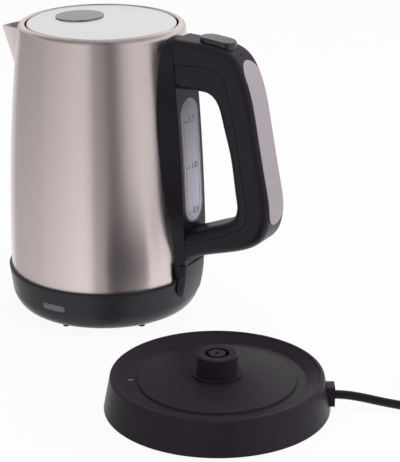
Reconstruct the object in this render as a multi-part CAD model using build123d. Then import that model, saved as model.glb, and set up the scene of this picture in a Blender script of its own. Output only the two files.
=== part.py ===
from build123d import *
import os
from math import asin, atan2, cos, degrees, hypot, pi, radians, sin, sqrt, tan

# Electric kettle standing beside its power base.
# Kettle pieces are drawn about the kettle's axis, handle towards +X, spout towards -X, lamp towards -Y.
# Base pieces are drawn about the base's axis. Both are then set down on the table, z = 0, in millimetres.

# Stance
stand_x = 172.0             # base axis from kettle axis, along the handle
stand_y = -124.5            # base axis from kettle axis, across the handle
cord_heading = 30.0         # degrees from +X to where the cord leaves the base

# Fits
seat_gap = 0.1              # between pieces of one assembly
run_gap = 0.4               # between pieces that move past each other
pin_gap = 0.05              # radial, pin in its hole

# Steel vessel
shell_r = 75.0
shell_wall = 0.8
shell_foot_z = 30.0
taper_z = 42.0              # the wall leans in above this height
rim_z = 229.6
shoulder_r = 4.5
curl_r = 1.2
curl_drop = 1.2             # how far the curled edge hangs below its round
mouth_r = shell_r - 16.5
floor_z = 45.0
floor_wall = 1.0
floor_skirt = 12.0

# Spout
spout_reach = shell_r + 17.0
spout_tip_z = rim_z - 13.6
spout_foot_z = rim_z - 71.6
spout_back_z = rim_z - 7.6  # height of the lip where it meets the body
spout_half_angle = 36.0
spout_nose_r = 7.0
spout_wall = 0.9
pour_low_z = rim_z - 53.6
pour_high_z = rim_z - 22.6
pour_low_half = 3.5
pour_high_half = 13.0
filter_x = mouth_r + 1.5    # outer face of the filter frame from the axis
filter_depth = 2.4
filter_border = 3.5
filter_low_z = rim_z - 61.6
filter_low_half = 9.0
filter_high_half = 19.0
mesh_wall = 0.6
mesh_hole = 2.6
mesh_pitch = 4.2

# Lid and its collar
collar_low_z = rim_z - 19.6
collar_wall = 2.6
collar_foot = 2.0
step_wide = 3.4
step_high = 1.2
lid_r = mouth_r - 1.3
lid_edge_z = rim_z - 0.3
lid_dome = 2.5
lid_wall = 0.7
lid_round = 1.2
lid_skirt_z = lid_edge_z - 1.3
drum_top_z = rim_z - 3.4
drum_plate = 1.6
drum_r = mouth_r - 18.5
drum_x = drum_r - mouth_r + 5.5
drum_wall = 1.8
drum_low_z = rim_z - 16.1
lid_rim_wide = 2.0          # raised edge that carries the steel lid on the drum's plate
disc_r = 18.7
disc_x = -20.0
disc_high = 0.9
hinge_x = mouth_r - 28.5
hinge_z = rim_z - 2.4
hinge_pin_r = 0.9
hinge_boss_r = 1.5
hinge_arm_thick = 2.0
hinge_arm_high = 8.0
hinge_arm_in = 34.0         # where the collar's hinge arms begin, from the middle
hinge_boss_out = 41.5
ear_y = 29.0
ear_wide = 5.0
ear_r = 2.2
latch_half = 5.0
latch_low_z = rim_z - 8.6
latch_high = 2.4
latch_tip = mouth_r + 1.7
latch_tail = mouth_r - 18.3
latch_spring_r = 1.0
latch_spring_wire = 0.5
latch_spring_long = 7.0
lid_spring_r = 1.6
lid_spring_wire = 0.6
lid_spring_y = 14.0
lid_spring_turns = 4
lid_spring_leg = 8.0

# Handle
handle_half = 16.0          # half of the handle's width
arm_z = 50.0                # underside of the lower arm where it meets the strip
upper_drop = 62.0           # the upper arm keeps its form this far below the rim
lower_rise = 69.6           # and the lower arm this far above its underside
run_drawn = 48.0            # the run between them as drawn, which stretches with the vessel's height
seam = 0.4                  # open joint between the handle's mouldings
cover_round = 6.5
grip_round = 7.5
insert_half = 11.0
insert_deep = 1.8
insert_low_z = arm_z + 43.0
insert_high_z = rim_z - 14.1
button_x = shell_r + 27.0
button_long = 28.5
button_wide = 17.0
button_proud_in = 3.8       # above the handle at the body's end
button_proud_out = 5.0      # and at the far end
button_flange = 1.6
button_lip = 2.0
button_round = 1.2
button_spring_r = 4.0
button_spring_wire = 0.8
eyelet_r = 0.9              # small round hole beyond the button
eyelet_x = button_x + 19.0


def loop_z(drop):
    run = min(max(drop - upper_drop, 0), run_drawn)
    stretch = (rim_z - upper_drop - lower_rise - arm_z) / run_drawn
    return rim_z - min(drop, upper_drop) - run * stretch - max(drop - upper_drop - run_drawn, 0)


outer_line = [(shell_r + x, loop_z(drop))
              for x, drop in [(-4.5, 2.4), (25, 3.7), (46.3, 10.5), (55.8, 24.4), (65.2, 59.6),
                              (73.9, 104.6), (76.8, 130.6), (72, 146.1), (55, 158), (4, 179.6)]]
split_line = [(shell_r + x, loop_z(drop))
              for x, drop in [(-4.5, 19.6), (15, 19.4), (29, 20.1), (37.5, 24.6), (42.5, 33.6),
                              (46.5, 47.6), (50, 62.9), (55.5, 96.6), (59.5, 117.6), (60.5, 128.6),
                              (58, 136.6), (50, 143.1), (37, 149.6), (24.9, 154.8), (4, 162.6)]]
inner_line = [(shell_r + x, loop_z(drop))
              for x, drop in [(-4.5, 40), (5, 40), (17, 39.8), (26.6, 41.3), (32.3, 47.1), (35.6, 55.9),
                              (39, 68.6), (42.7, 82), (46.2, 101.6), (48.4, 116.6), (49.4, 125.6),
                              (47.2, 133), (39.8, 139), (29.4, 143.4), (18, 147.9), (4, 153)]]
strip_back = [(arm_z - 30, 16.8), (arm_z - 4, 17.5), (arm_z + 20, 19.6), (arm_z + 45, 27.0),
              (arm_z + 70, 31.0), (rim_z - 81.6, 30.8), (rim_z - 51.6, 27.7), (rim_z - 31.6, 23.5),
              (rim_z - 17.6, 19.6), (rim_z - 7.6, 15.0)]
strip_back_x = shell_r - 13.0
strip_front_x = shell_r + 8.0
strip_out = 7.0             # how far the strip's front stands off the vessel
strip_half = 16.4
strip_bevel = 3.4           # how much narrower its front is than its back, at the least
strip_top_z = rim_z - 3.1
handle_screw_z = [rim_z - 31.6, arm_z + 23.0]
handle_screw_end = shell_r + 15.0

# Water gauge
gauge_half = 13.0
gauge_low_z = arm_z + 33.0
gauge_high_z = rim_z - 49.6
gauge_wall = 2.0
gauge_slot_half = 6.0
gauge_slot_inset = 8.0
seal_thick = 1.2
steam_r = 3.0
steam_wall = 0.8
steam_top_z = rim_z - 34.6
steam_low_z = floor_z - 11.0
steam_ring_r = shell_r - 11.8
steam_heading = 16.0

# Foot of the kettle
ring_lip_r = shell_r + 2.4
ring_lip_z = 38.4
ring_knee_r = shell_r - 0.4
ring_knee_z = 17.5
ring_toe_r = shell_r - 9.0
ring_toe_z = 1.6
ring_wall = 2.4
ring_lip_gap = 0.3
cover_r = shell_r - 11.6
cover_low_z = 1.8
cover_thick = 2.4
cover_screw_ring_r = cover_r - 9.9
cover_stud_r = 3.6
foot_count = 6
foot_ring_r = cover_r - 4.9
foot_r = 2.6
socket_bore_r = 15.0
socket_r = 19.0
socket_top_z = 24.0
socket_deep_z = 21.0
socket_pin_r = 1.2
socket_contact_r = 7.5
spreader_r = shell_r - 17.0
spreader_thick = 4.0
element_ring_r = spreader_r - 14.0
element_r = 4.0
element_sweep = 290.0
control_long = 50.0
control_wide = 34.0
control_high = 7.5
lens_z = 21.0
lens_long = 20.0
lens_high = 5.2
lens_deep = 4.0
lamp_r = 2.2
lamp_long = 13.0
switch_half = 15.4
switch_low_z = 19.5
switch_high_z = 49.8
switch_low_x = shell_r + 3.2        # front of the lever at its foot, middle and top
switch_middle_x = shell_r + 7.1
switch_high_x = shell_r + 8.6
switch_middle_z = 38.0
switch_thick = 2.4
switch_round = 3.0
switch_pivot_x = 46.0
switch_pivot_z = 26.5
switch_pin_r = 1.5
switch_arm_half = 4.0
switch_arm_high = 4.4

# Power base
base_r = shell_r + 4.3
base_low_z = 1.5
base_crest_r = base_r - 5.6
base_crest_z = 26.0
base_trough_r = base_r - 17.3
base_trough_z = 21.5
base_step_r = base_r - 23.3
base_step_high = 1.3
base_wall = 2.4
base_screw_ring_r = base_step_r - 6.0
base_boss_r = 4.0
collar_r = 17.5
collar_z = 25.4
collar_high = 1.8
tower_r = 14.3
tower_neck_r = 13.9         # where the tower passes through the base's top
tower_top_z = 41.4
tower_chamfer = 0.8
tower_groove_r = 8.6
tower_island_r = 6.0
tower_groove_deep = 12.0
tower_hole_r = 1.4
plate_r = base_r - 3.3
plate_thick = 2.0
drain_ring_r = base_r - 19.3
drain_r = 2.4
drain_heading = 210.0
base_foot_ring_r = base_r - 7.3
base_foot_r = 4.0
base_foot_count = 3
screw_head_r = 3.0
screw_head_high = 1.2
screw_r = 1.4
screw_long = 8.0

# Cord
cord_r = 3.1
gland_z = 10.0
gland_high = 15.0
gland_wide = 14.0
gland_out = base_r + 2.7    # outer face of the gland from the base axis
gland_thick = 7.0           # before it is hollowed to sit on the base's wall
gland_tail = 16.0
gland_neck_r = 5.2
coil_r = 35.2               # outer turn
coil_step = 6.8             # turn to turn, lower layer
coil_step_out = 10.2        # turn to turn, upper layer
coil_lift = 6.7             # layer to layer
coil_floor = 3.9            # centre of the lower layer above the table
coil_in_turns = 1.4
coil_climb_turns = 0.5
coil_out_turns = 1.35
tie_wide = 9.0
tie_thick = 0.6
lead_r = 0.9
plug_r = 17.5
plug_long = 34.0
plug_neck = 30.0
plug_pin_r = 2.4
plug_pin_long = 19.0
plug_pin_pitch = 19.0

far = 400.0                 # longer than any cut needs

# Set-down points, so that the whole stands centred on the frame's origin
kettle_x = (spout_reach - stand_x - base_r) / 2
kettle_y = (base_r - stand_y - ring_lip_r) / 2
base_x = kettle_x + stand_x
base_y = kettle_y + stand_y


# Drawing helpers

def rz(r, z):
    return Vector(r, 0, z)


def chain(*points):
    return [Line(a, b) for a, b in zip(points, points[1:])]


def filled(*edges):
    return Face(Wire(list(edges)))


def polygon(*points):
    return filled(*chain(*points, points[0]))


def turned(*edges):
    return revolve(filled(*edges), Axis.Z)


def turned_ring(*pairs):
    return revolve(polygon(*[rz(r, z) for r, z in pairs]), Axis.Z)


def across(face, half):
    return extrude(face, amount=half, dir=(0, 1, 0), both=True)


def box(x0, x1, y0, y1, z0, z1):
    return Pos((x0 + x1) / 2, (y0 + y1) / 2, (z0 + z1) / 2) * Box(x1 - x0, y1 - y0, z1 - z0)


def rod(r, z0, z1, x=0.0, y=0.0):
    return Pos(x, y, (z0 + z1) / 2) * Cylinder(r, z1 - z0)


def rod_x(r, x0, x1, y=0.0, z=0.0):
    return Pos((x0 + x1) / 2, y, z) * Rot(0, 90, 0) * Cylinder(r, x1 - x0)


def rod_y(r, y0, y1, x=0.0, z=0.0):
    return Pos(x, (y0 + y1) / 2, z) * Rot(90, 0, 0) * Cylinder(r, y1 - y0)


def ring_arc(centre, radius, start, end):
    angles = (start, (start + end) / 2, end)
    return ThreePointArc(*[rz(centre[0] + radius * cos(a), centre[1] + radius * sin(a)) for a in angles])


def polar(radius, heading):
    return radius * cos(radians(heading)), radius * sin(radians(heading))


def tube(path, r):
    start = path @ 0
    return sweep(Plane(start, z_dir=path % 0) * Circle(r), path)


def biarc(p0, t0, p1, t1):
    # two tangent arcs that leave p0 along t0 and reach p1 along t1
    v = p1 - p0
    bend = 1 - t0.dot(t1)
    vt = v.dot(t0 + t1)
    reach = (-vt + sqrt(vt * vt + 2 * bend * v.dot(v))) / (2 * bend)
    middle = (p0 + p1 + (t0 - t1) * reach) * 0.5
    first = TangentArc(p0, middle, tangent=t0)
    return [first, TangentArc(middle, p1, tangent=first % 1)]


def coil_wire(spot, course, turns, per_turn=4):
    # tangent arcs through the points of a winding, whose place and course are functions of the turn
    count = round(turns * per_turn)
    marks = [turns * i / count for i in range(count + 1)]
    edges = []
    for a, b in zip(marks, marks[1:]):
        edges += biarc(spot(a), course(a).normalized(), spot(b), course(b).normalized())
    return edges


def compression_spring(radius, wire, length, turns):
    # along +Z from the origin
    rise = (length - wire) / turns

    def spot(t):
        return Vector(radius * cos(2 * pi * t), radius * sin(2 * pi * t), wire / 2 + rise * t)

    def course(t):
        return Vector(-2 * pi * radius * sin(2 * pi * t), 2 * pi * radius * cos(2 * pi * t), rise)

    return tube(Wire(coil_wire(spot, course, turns)), wire / 2)


def outline_in_x(points, x):
    # closed leaf across the YZ plane from heights and half-widths, with a round top and a flat foot
    right = [Vector(x, half, z) for z, half in points]
    left = [Vector(x, -half, z) for z, half in points]
    crown = ThreePointArc(right[-1], Vector(x, 0, strip_top_z), left[-1])
    return Wire([Spline(*right), crown, Spline(*reversed(left)), Line(left[0], right[0])])


def pill_in_x(half, low, high, x):
    # upright slot outline with round ends, across the YZ plane
    low_c, high_c = low + half, high - half
    return Wire([Line((x, half, low_c), (x, half, high_c)),
                 ThreePointArc((x, half, high_c), (x, 0, high), (x, -half, high_c)),
                 Line((x, -half, high_c), (x, -half, low_c)),
                 ThreePointArc((x, -half, low_c), (x, 0, low), (x, half, low_c))])


def pill_prism(half, low, high, x0, x1):
    return Solid.extrude(Face(pill_in_x(half, low, high, x0)), Vector(x1 - x0, 0, 0))


def shifted(points, distance):
    # the same line moved sideways, to the left of its course
    moved = []
    for i, (x, z) in enumerate(points):
        ax, az = points[max(i - 1, 0)]
        bx, bz = points[min(i + 1, len(points) - 1)]
        run = hypot(bx - ax, bz - az)
        moved.append((x - distance * (bz - az) / run, z + distance * (bx - ax) / run))
    return moved


def side_curve(points, y=0.0):
    return Spline(*[Vector(x, y, z) for x, z in points])


def band(upper, lower):
    # face in the XZ plane between two lines that run the same way
    first, second = side_curve(upper), side_curve(lower)
    return filled(first, Line(first @ 1, second @ 1), second, Line(second @ 0, first @ 0))


def long_edges(part, points, half):
    # the two edges of a flat-sided part that follow a side line
    spot = side_curve(points) @ 0.5
    return [e for e in part.edges()
            if any(e.distance_to(Vertex(spot.X, y, spot.Z)) < 0.02 for y in (half, -half))]


# Vessel outline: a straight foot, a long arc leaning in, a tight shoulder and a curled edge

shoulder_c = (mouth_r + curl_r, rim_z - shoulder_r)
lean = shell_r - shoulder_c[0]
climb = shoulder_c[1] - taper_z
taper_r = (lean ** 2 + climb ** 2 - shoulder_r ** 2) / (2 * (lean - shoulder_r))
taper_c = (shell_r - taper_r, taper_z)
taper_end = atan2(shoulder_c[1] - taper_c[1], shoulder_c[0] - taper_c[0])
curl_c = (mouth_r + curl_r, rim_z - curl_r)


def wall_radius(z):
    if z <= taper_z:
        return shell_r
    return taper_c[0] + sqrt(taper_r ** 2 - (z - taper_z) ** 2)


def vessel_core(grow, z0, z1):
    # everything inside the vessel's outer face, grown by a distance
    end = asin((z1 - taper_z) / (taper_r + grow))
    arc = ring_arc(taper_c, taper_r + grow, 0, end)
    foot = chain(rz(0, z1), rz(0, z0), rz(shell_r + grow, z0), arc @ 0)
    return turned(*foot, arc, Line(arc @ 1, rz(0, z1)))


def vessel_wall():
    t = shell_wall
    hang_z = curl_c[1] - curl_drop
    taper_out = ring_arc(taper_c, taper_r, 0, taper_end)
    shoulder_out = ring_arc(shoulder_c, shoulder_r, taper_end, pi / 2)
    curl_out = ring_arc(curl_c, curl_r, pi / 2, pi)
    curl_in = ring_arc(curl_c, curl_r - t, pi, pi / 2)
    shoulder_in = ring_arc(shoulder_c, shoulder_r - t, pi / 2, taper_end)
    taper_in = ring_arc(taper_c, taper_r - t, taper_end, 0)
    return turned(Line(rz(shell_r, shell_foot_z), taper_out @ 0), taper_out, shoulder_out, curl_out,
                  *chain(curl_out @ 1, rz(mouth_r, hang_z), rz(mouth_r + t, hang_z), curl_in @ 0),
                  curl_in, shoulder_in, taper_in,
                  *chain(taper_in @ 1, rz(shell_r - t, shell_foot_z), rz(shell_r, shell_foot_z)))


def trapezoid_prism(low, high, low_half, high_half, x0, x1):
    face = polygon(Vector(x0, -low_half, low), Vector(x0, low_half, low),
                   Vector(x0, high_half, high), Vector(x0, -high_half, high))
    return Solid.extrude(face, Vector(x1 - x0, 0, 0))


def make_body_shell():
    shell = vessel_wall()
    shell -= trapezoid_prism(pour_low_z, pour_high_z, pour_low_half, pour_high_half, -far, -mouth_r / 2)
    slot_low, slot_high = gauge_low_z + gauge_slot_inset, gauge_high_z - gauge_slot_inset
    shell -= pill_prism(gauge_slot_half, slot_low, slot_high, mouth_r, far)
    for z in handle_screw_z:
        shell -= rod_x(screw_r + seat_gap, mouth_r, far, z=z)
    return shell


def make_spout():
    beta = radians(spout_half_angle)
    centre = Vector(-spout_reach + spout_nose_r, 0, spout_tip_z)
    back_x = -mouth_r + 6

    def wing(r, side):
        start = centre + Vector(-sin(beta), side * cos(beta), 0) * r
        run = (back_x - start.X) / cos(beta)
        return start, start + Vector(cos(beta), side * sin(beta), 0) * run

    def nose(r):
        return centre - Vector(r, 0, 0)

    inner_r = spout_nose_r - spout_wall
    (a, a_end), (b, b_end) = wing(spout_nose_r, 1), wing(spout_nose_r, -1)
    (c, c_end), (d, d_end) = wing(inner_r, 1), wing(inner_r, -1)
    face = filled(Line(a_end, a), ThreePointArc(a, nose(spout_nose_r), b), Line(b, b_end),
                  Line(b_end, d_end), Line(d_end, d), ThreePointArc(d, nose(inner_r), c),
                  Line(c, c_end), Line(c_end, a_end))
    lean_out = (spout_reach - wall_radius(spout_foot_z)) / (spout_tip_z - spout_foot_z)
    drop = spout_tip_z - spout_foot_z + 12
    rise = spout_back_z - spout_tip_z + 6
    lower = Pos(lean_out * drop, 0, -drop) * face
    trough = Solid.extrude(lower, Vector(-lean_out, 0, 1) * (drop + rise))
    lip = (spout_back_z - spout_tip_z) / (spout_reach - wall_radius(spout_back_z))
    outside = 2 * spout_reach
    top = polygon(rz(-outside, spout_tip_z - spout_reach * lip), rz(0, spout_tip_z + spout_reach * lip),
                  rz(0, far), rz(-outside, far))
    return trough - across(top, spout_reach) - vessel_core(seat_gap / 2, shell_foot_z, rim_z - curl_r)


def make_filter_frame():
    high = collar_low_z - seat_gap
    back = -filter_x + filter_depth
    frame = trapezoid_prism(filter_low_z, high, filter_low_half, filter_high_half, -filter_x, back)
    window = trapezoid_prism(filter_low_z + filter_border, high - filter_border,
                             filter_low_half - filter_border, filter_high_half - filter_border,
                             -filter_x - 1, back + 1)
    return frame - window


def make_filter_mesh():
    high = collar_low_z - seat_gap
    inset = filter_border + seat_gap / 2
    low_z, high_z = filter_low_z + inset, high - inset
    low_half, high_half = filter_low_half - inset, filter_high_half - inset
    middle = -filter_x + filter_depth / 2
    sheet = trapezoid_prism(low_z, high_z, low_half, high_half,
                            middle - mesh_wall / 2, middle + mesh_wall / 2)
    holes = []
    for row in range(int((high_z - low_z) / mesh_pitch)):
        z = low_z + mesh_pitch * (row + 0.5)
        half = low_half + (high_half - low_half) * (z - mesh_hole - low_z) / (high_z - low_z)
        count = int((half - mesh_hole / 2) / mesh_pitch)
        for col in range(-count, count + 1):
            y = col * mesh_pitch
            holes.append(box(middle - 1, middle + 1, y - mesh_hole / 2, y + mesh_hole / 2,
                             z - mesh_hole / 2, z + mesh_hole / 2))
    return sheet - holes


def make_vessel_floor():
    r = shell_r - shell_wall - seat_gap
    skirt_z, under_z = floor_z - floor_skirt, floor_z - floor_wall
    pan = turned_ring((0, floor_z), (r, floor_z), (r, skirt_z), (r - floor_wall, skirt_z),
                      (r - floor_wall, under_z), (0, under_z))
    x, y = polar(steam_ring_r, steam_heading)
    return pan - rod(steam_r + seat_gap / 2, 0, far, x=x, y=y)


def make_steam_tube():
    x, y = polar(steam_ring_r, steam_heading)
    return rod(steam_r, steam_low_z, steam_top_z, x=x, y=y) - rod(steam_r - steam_wall, 0, far, x=x, y=y)


def make_heat_spreader():
    # aluminium plate with three studs that the bottom cover is screwed to
    top = floor_z - floor_wall
    plate = rod(spreader_r, top - spreader_thick, top)
    cover_top = cover_low_z + cover_thick
    for x, y in cover_screw_spots:
        plate += rod(cover_stud_r, cover_top + seat_gap, top - 1, x=x, y=y)
        plate -= rod(screw_r + seat_gap, 0, cover_top + screw_long, x=x, y=y)
    return plate


def make_heating_element():
    top = floor_z - floor_wall - spreader_thick
    half = radians(element_sweep / 2)
    z = top - element_r

    def spot(a):
        return Vector(-element_ring_r * cos(a), element_ring_r * sin(a), z)

    path = Wire([ThreePointArc(spot(-half), spot(0), spot(half))])
    return tube(path, element_r - seat_gap)


# Lid, its collar, hinge and latch

lid_top_z = lid_edge_z + lid_dome
dome_reach = lid_r - lid_round
dome_r = (dome_reach ** 2 + lid_dome ** 2) / (2 * lid_dome)
dome_c = lid_top_z - dome_r


def dome_z(r, inset=0.0):
    return dome_c + sqrt((dome_r - inset) ** 2 - r ** 2)


def make_lid_collar():
    inner = mouth_r + seat_gap
    outer = inner + collar_wall
    top = curl_c[1] - curl_drop - seat_gap
    foot_z = collar_low_z + collar_foot
    foot_r = wall_radius(foot_z) - shell_wall - seat_gap
    step_z = drum_top_z - drum_plate - run_gap
    collar = turned_ring((inner, collar_low_z), (foot_r, collar_low_z), (foot_r, foot_z), (outer, foot_z),
                         (outer, top), (inner, top))
    step = turned_ring((inner - step_wide, step_z - step_high), (inner, step_z - step_high), (inner, step_z),
                       (inner - step_wide, step_z))
    step -= box(hinge_x - 10, far, -far, far, 0, far)
    collar += step
    arm_reach = sqrt((inner + collar_wall / 2) ** 2 - hinge_x ** 2)
    for side in (1, -1):
        ends = sorted((side * hinge_arm_in, side * hinge_boss_out))
        web_ends = sorted((side * hinge_arm_in, side * arm_reach))
        boss_top = box(hinge_x - hinge_boss_r, hinge_x + hinge_arm_thick - hinge_boss_r, *ends,
                       hinge_z - hinge_boss_r, hinge_z)
        collar += box(hinge_x - hinge_boss_r, hinge_x + hinge_arm_thick - hinge_boss_r, *web_ends,
                      hinge_z - hinge_arm_high, hinge_z - hinge_pin_r) + boss_top
        collar += rod_y(hinge_boss_r, *ends, x=hinge_x, z=hinge_z)
    collar -= rod_y(hinge_pin_r + pin_gap, -hinge_boss_out, hinge_boss_out, x=hinge_x, z=hinge_z)
    collar -= box(-outer - 1, -inner + step_wide + 1, -latch_half - run_gap, latch_half + run_gap,
                  latch_low_z - run_gap, latch_low_z + latch_high + run_gap)
    return collar


def make_lid_plate():
    edge = lid_r - lid_round
    top = ThreePointArc(rz(0, lid_top_z), rz(edge / 2, dome_z(edge / 2)), rz(edge, dome_z(edge)))
    low_edge = edge - lid_wall
    under = ThreePointArc(rz(low_edge, dome_z(low_edge, lid_wall)), rz(edge / 2, dome_z(edge / 2, lid_wall)),
                          rz(0, lid_top_z - lid_wall))
    nick = lid_round * (1 - sin(pi / 4))
    corner = ThreePointArc(top @ 1, rz(lid_r - nick, lid_edge_z - nick), rz(lid_r, lid_edge_z - lid_round))
    skin = lid_r - lid_wall
    return turned(top, corner, *chain(corner @ 1, rz(lid_r, lid_skirt_z), rz(skin, lid_skirt_z), under @ 0),
                  under, Line(under @ 1, top @ 0))


def make_lid_disc():
    blank = rod(disc_r, lid_edge_z, lid_top_z + 5, x=disc_x)
    cap = Pos(0, 0, dome_c) * Sphere(dome_r + disc_high)
    bed = Pos(0, 0, dome_c) * Sphere(dome_r + seat_gap / 5)
    return blank & cap - bed


def make_lid_inner():
    plate_low = drum_top_z - drum_plate
    plate_r = lid_r - lid_wall - 0.5
    rim_in, rim_out = plate_r - lid_rim_wide - 1, plate_r - 1
    rim_z_top = dome_z(rim_out, lid_wall + seat_gap)
    plate = rod(plate_r, plate_low, drum_top_z)
    plate += turned_ring((rim_in, plate_low), (rim_out, plate_low),
                         (rim_out, rim_z_top), (rim_in, rim_z_top))
    plate -= box(hinge_x - 6, far, hinge_arm_in - run_gap, far, 0, far)
    plate -= box(hinge_x - 6, far, -far, -hinge_arm_in + run_gap, 0, far)
    drum = rod(drum_r, drum_low_z, plate_low, x=drum_x)
    drum -= rod(drum_r - drum_wall, drum_low_z + drum_wall, plate_low, x=drum_x)
    guide_high = latch_low_z - seat_gap
    guide_end = -latch_tail + latch_spring_long + drum_wall
    front = drum_x - drum_r + drum_wall / 2
    guide = box(front, guide_end, -latch_half, latch_half, drum_low_z + drum_wall / 2, guide_high)
    stop = box(guide_end - drum_wall, guide_end, -latch_half, latch_half,
               guide_high, latch_low_z + latch_high)
    inner = plate + drum + guide + stop
    inner -= box(front - drum_wall, front + drum_wall, -latch_half - run_gap, latch_half + run_gap,
                 guide_high, latch_low_z + latch_high + run_gap)
    for side in (1, -1):
        y = side * ear_y
        inner += box(hinge_x - ear_r, hinge_x + ear_r, y - ear_wide / 2, y + ear_wide / 2,
                     plate_low, hinge_z)
        inner += rod_y(ear_r, y - ear_wide / 2, y + ear_wide / 2, x=hinge_x, z=hinge_z)
    inner -= rod_y(hinge_pin_r + pin_gap, -lid_r, lid_r, x=hinge_x, z=hinge_z)
    reach = lid_spring_r + lid_spring_wire
    inner -= box(hinge_x - reach - 1, hinge_x + reach + 1, lid_spring_y - 1,
                 lid_spring_y + (lid_spring_turns + 1) * lid_spring_pitch + 1, plate_low - 1, drum_top_z + 1)
    return inner


def make_lid_hinge_pin():
    return rod_y(hinge_pin_r, -hinge_boss_out, hinge_boss_out, x=hinge_x, z=hinge_z)


lid_spring_pitch = lid_spring_wire + 0.3


def make_lid_spring():
    # torsion coil round the hinge pin, with one leg under the lid and one hanging behind the pin
    rise = lid_spring_pitch
    turns = lid_spring_turns + 0.25

    def spot(t):
        a = 2 * pi * t
        x, z = lid_spring_r * sin(a), lid_spring_r * cos(a)
        return Vector(hinge_x + x, lid_spring_y + rise * t, hinge_z + z)

    def course(t):
        a = 2 * pi * t
        return Vector(2 * pi * lid_spring_r * cos(a), rise, -2 * pi * lid_spring_r * sin(a))

    first, last = course(0).normalized(), course(turns).normalized()
    under_lid = Line(spot(0) - first * lid_spring_leg, spot(0))
    behind_pin = Line(spot(turns), spot(turns) + last * lid_spring_leg)
    path = Wire([under_lid, *coil_wire(spot, course, turns), behind_pin])
    return tube(path, lid_spring_wire / 2)


def make_lid_latch():
    return box(-latch_tip, -latch_tail, -latch_half, latch_half, latch_low_z, latch_low_z + latch_high)


def make_latch_spring():
    coil = compression_spring(latch_spring_r - latch_spring_wire / 2, latch_spring_wire,
                              latch_spring_long, 6)
    return Pos(-latch_tail, 0, latch_low_z + latch_high / 2) * Rot(0, 90, 0) * coil


# Handle, strip, gauge and button

def crest_z(x):
    curve = side_curve(outer_line)
    best = min((abs((curve @ (i / 400)).X - x), (curve @ (i / 400)).Z) for i in range(200))
    return best[1]


def strip_profile(grow):
    # side view of the strip, whose front keeps an even distance from the vessel's wall
    reach = taper_r + strip_out + grow
    top = strip_top_z + 5
    front = ring_arc(taper_c, reach, 0, asin((top - taper_z) / reach))
    return filled(*chain(front @ 1, rz(0, top), rz(0, 0), rz(taper_c[0] + reach, 0), front @ 0), front)


def strip_edge(z, back):
    # half-width in the loft's front plane that brings the strip to its own half-width at its leaning face
    share = (wall_radius(z) + strip_out - strip_back_x) / (strip_front_x - strip_back_x)
    return back + (min(strip_half, back - strip_bevel) - back) / share


def ring_core(grow):
    # everything inside the foot ring's outer face, grown by a distance
    low, high, lip = ring_toe_z - grow, ring_lip_z + grow, ring_lip_r + grow
    toe = ThreePointArc(rz(ring_knee_r + grow, ring_knee_z), ring_bulge(grow), rz(ring_toe_r, low))
    side = chain(rz(0, low), rz(0, high), rz(lip, high), rz(lip, ring_lip_z), toe @ 0)
    return turned(*side, toe, Line(toe @ 1, rz(0, low)))


def ring_bulge(grow):
    # middle of the foot ring's round toe
    return rz(ring_toe_r + 0.76 * (ring_knee_r - ring_toe_r) + 0.8 * grow,
              ring_toe_z + 0.39 * (ring_knee_z - ring_toe_z) - 0.6 * grow)


def make_handle_mount():
    wide = outline_in_x(strip_back, strip_back_x)
    narrow = outline_in_x([(z, strip_edge(z, back)) for z, back in strip_back], strip_front_x)
    strip = loft([Face(wide), Face(narrow)], ruled=True)
    strip &= across(strip_profile(0), shell_r)
    strip -= vessel_core(seat_gap, 0, strip_top_z + 2)
    strip -= ring_core(seat_gap)
    strip -= gauge_block(-seat_gap, -1)
    strip -= box(shell_r + switch_bay, far, -far, far, 0, switch_high_z + 2 * run_gap)
    strip -= box(0, far, -far, far, 0, ring_lip_z + seat_gap)
    for z in handle_screw_z:
        strip -= rod_x(screw_r + seat_gap, 0, far, z=z)
    return strip


switch_bay = 2.2            # thickness of the strip behind the switch


def gauge_block(inset, depth):
    # upright pill through the strip, its front set back from the strip's
    pill = pill_prism(gauge_half - inset, gauge_low_z + inset, gauge_high_z - inset, mouth_r, far)
    return pill & across(strip_profile(-depth), shell_r)


def make_gauge_window():
    body = gauge_block(0, 0) - gauge_block(gauge_wall, gauge_wall)
    return body - vessel_core(seat_gap + seal_thick, shell_foot_z, strip_top_z)


def make_gauge_seal():
    ring = gauge_block(0, 0) - gauge_block(gauge_wall, 0)
    ring &= vessel_core(seal_thick, shell_foot_z, strip_top_z)
    return ring - vessel_core(seat_gap, 0, strip_top_z + 1)


def make_handle_grip():
    grip = across(band(shifted(split_line, -seam), inner_line), handle_half)
    grip = fillet(long_edges(grip, inner_line, handle_half), grip_round)
    grip -= across(strip_profile(seat_gap), shell_r)
    for z in handle_screw_z:
        grip -= rod_x(screw_r + seat_gap, 0, handle_screw_end + seat_gap, z=z)
    return grip


def make_handle_cover():
    cover = across(band(outer_line, split_line), handle_half)
    cover = fillet(long_edges(cover, outer_line, handle_half), cover_round)
    cover -= across(strip_profile(seam), shell_r)
    cover -= insert_prism(seat_gap / 2)
    cover -= button_slot(run_gap, button_seat_z - 1, far)
    lip = button_lip + run_gap
    half_wide = button_wide / 2 + lip
    cover -= box(button_x - button_long / 2 - lip, button_x + button_long / 2 + run_gap,
                 -half_wide, half_wide, button_seat_z - 1, button_roof_z)
    return cover - rod(eyelet_r, crest_z(eyelet_x) - 2, far, x=eyelet_x)


button_seat_z = rim_z - 19.6
button_roof_z = rim_z - 13.1        # underside of the cover round the button
button_bore_z = rim_z - 7.6


def button_slot(grow, low, high):
    # upright prism with the button's round-ended outline
    outline = SlotOverall(button_long + 2 * grow, button_wide + 2 * grow)
    return Pos(button_x, 0, low) * extrude(outline, amount=high - low)


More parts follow.
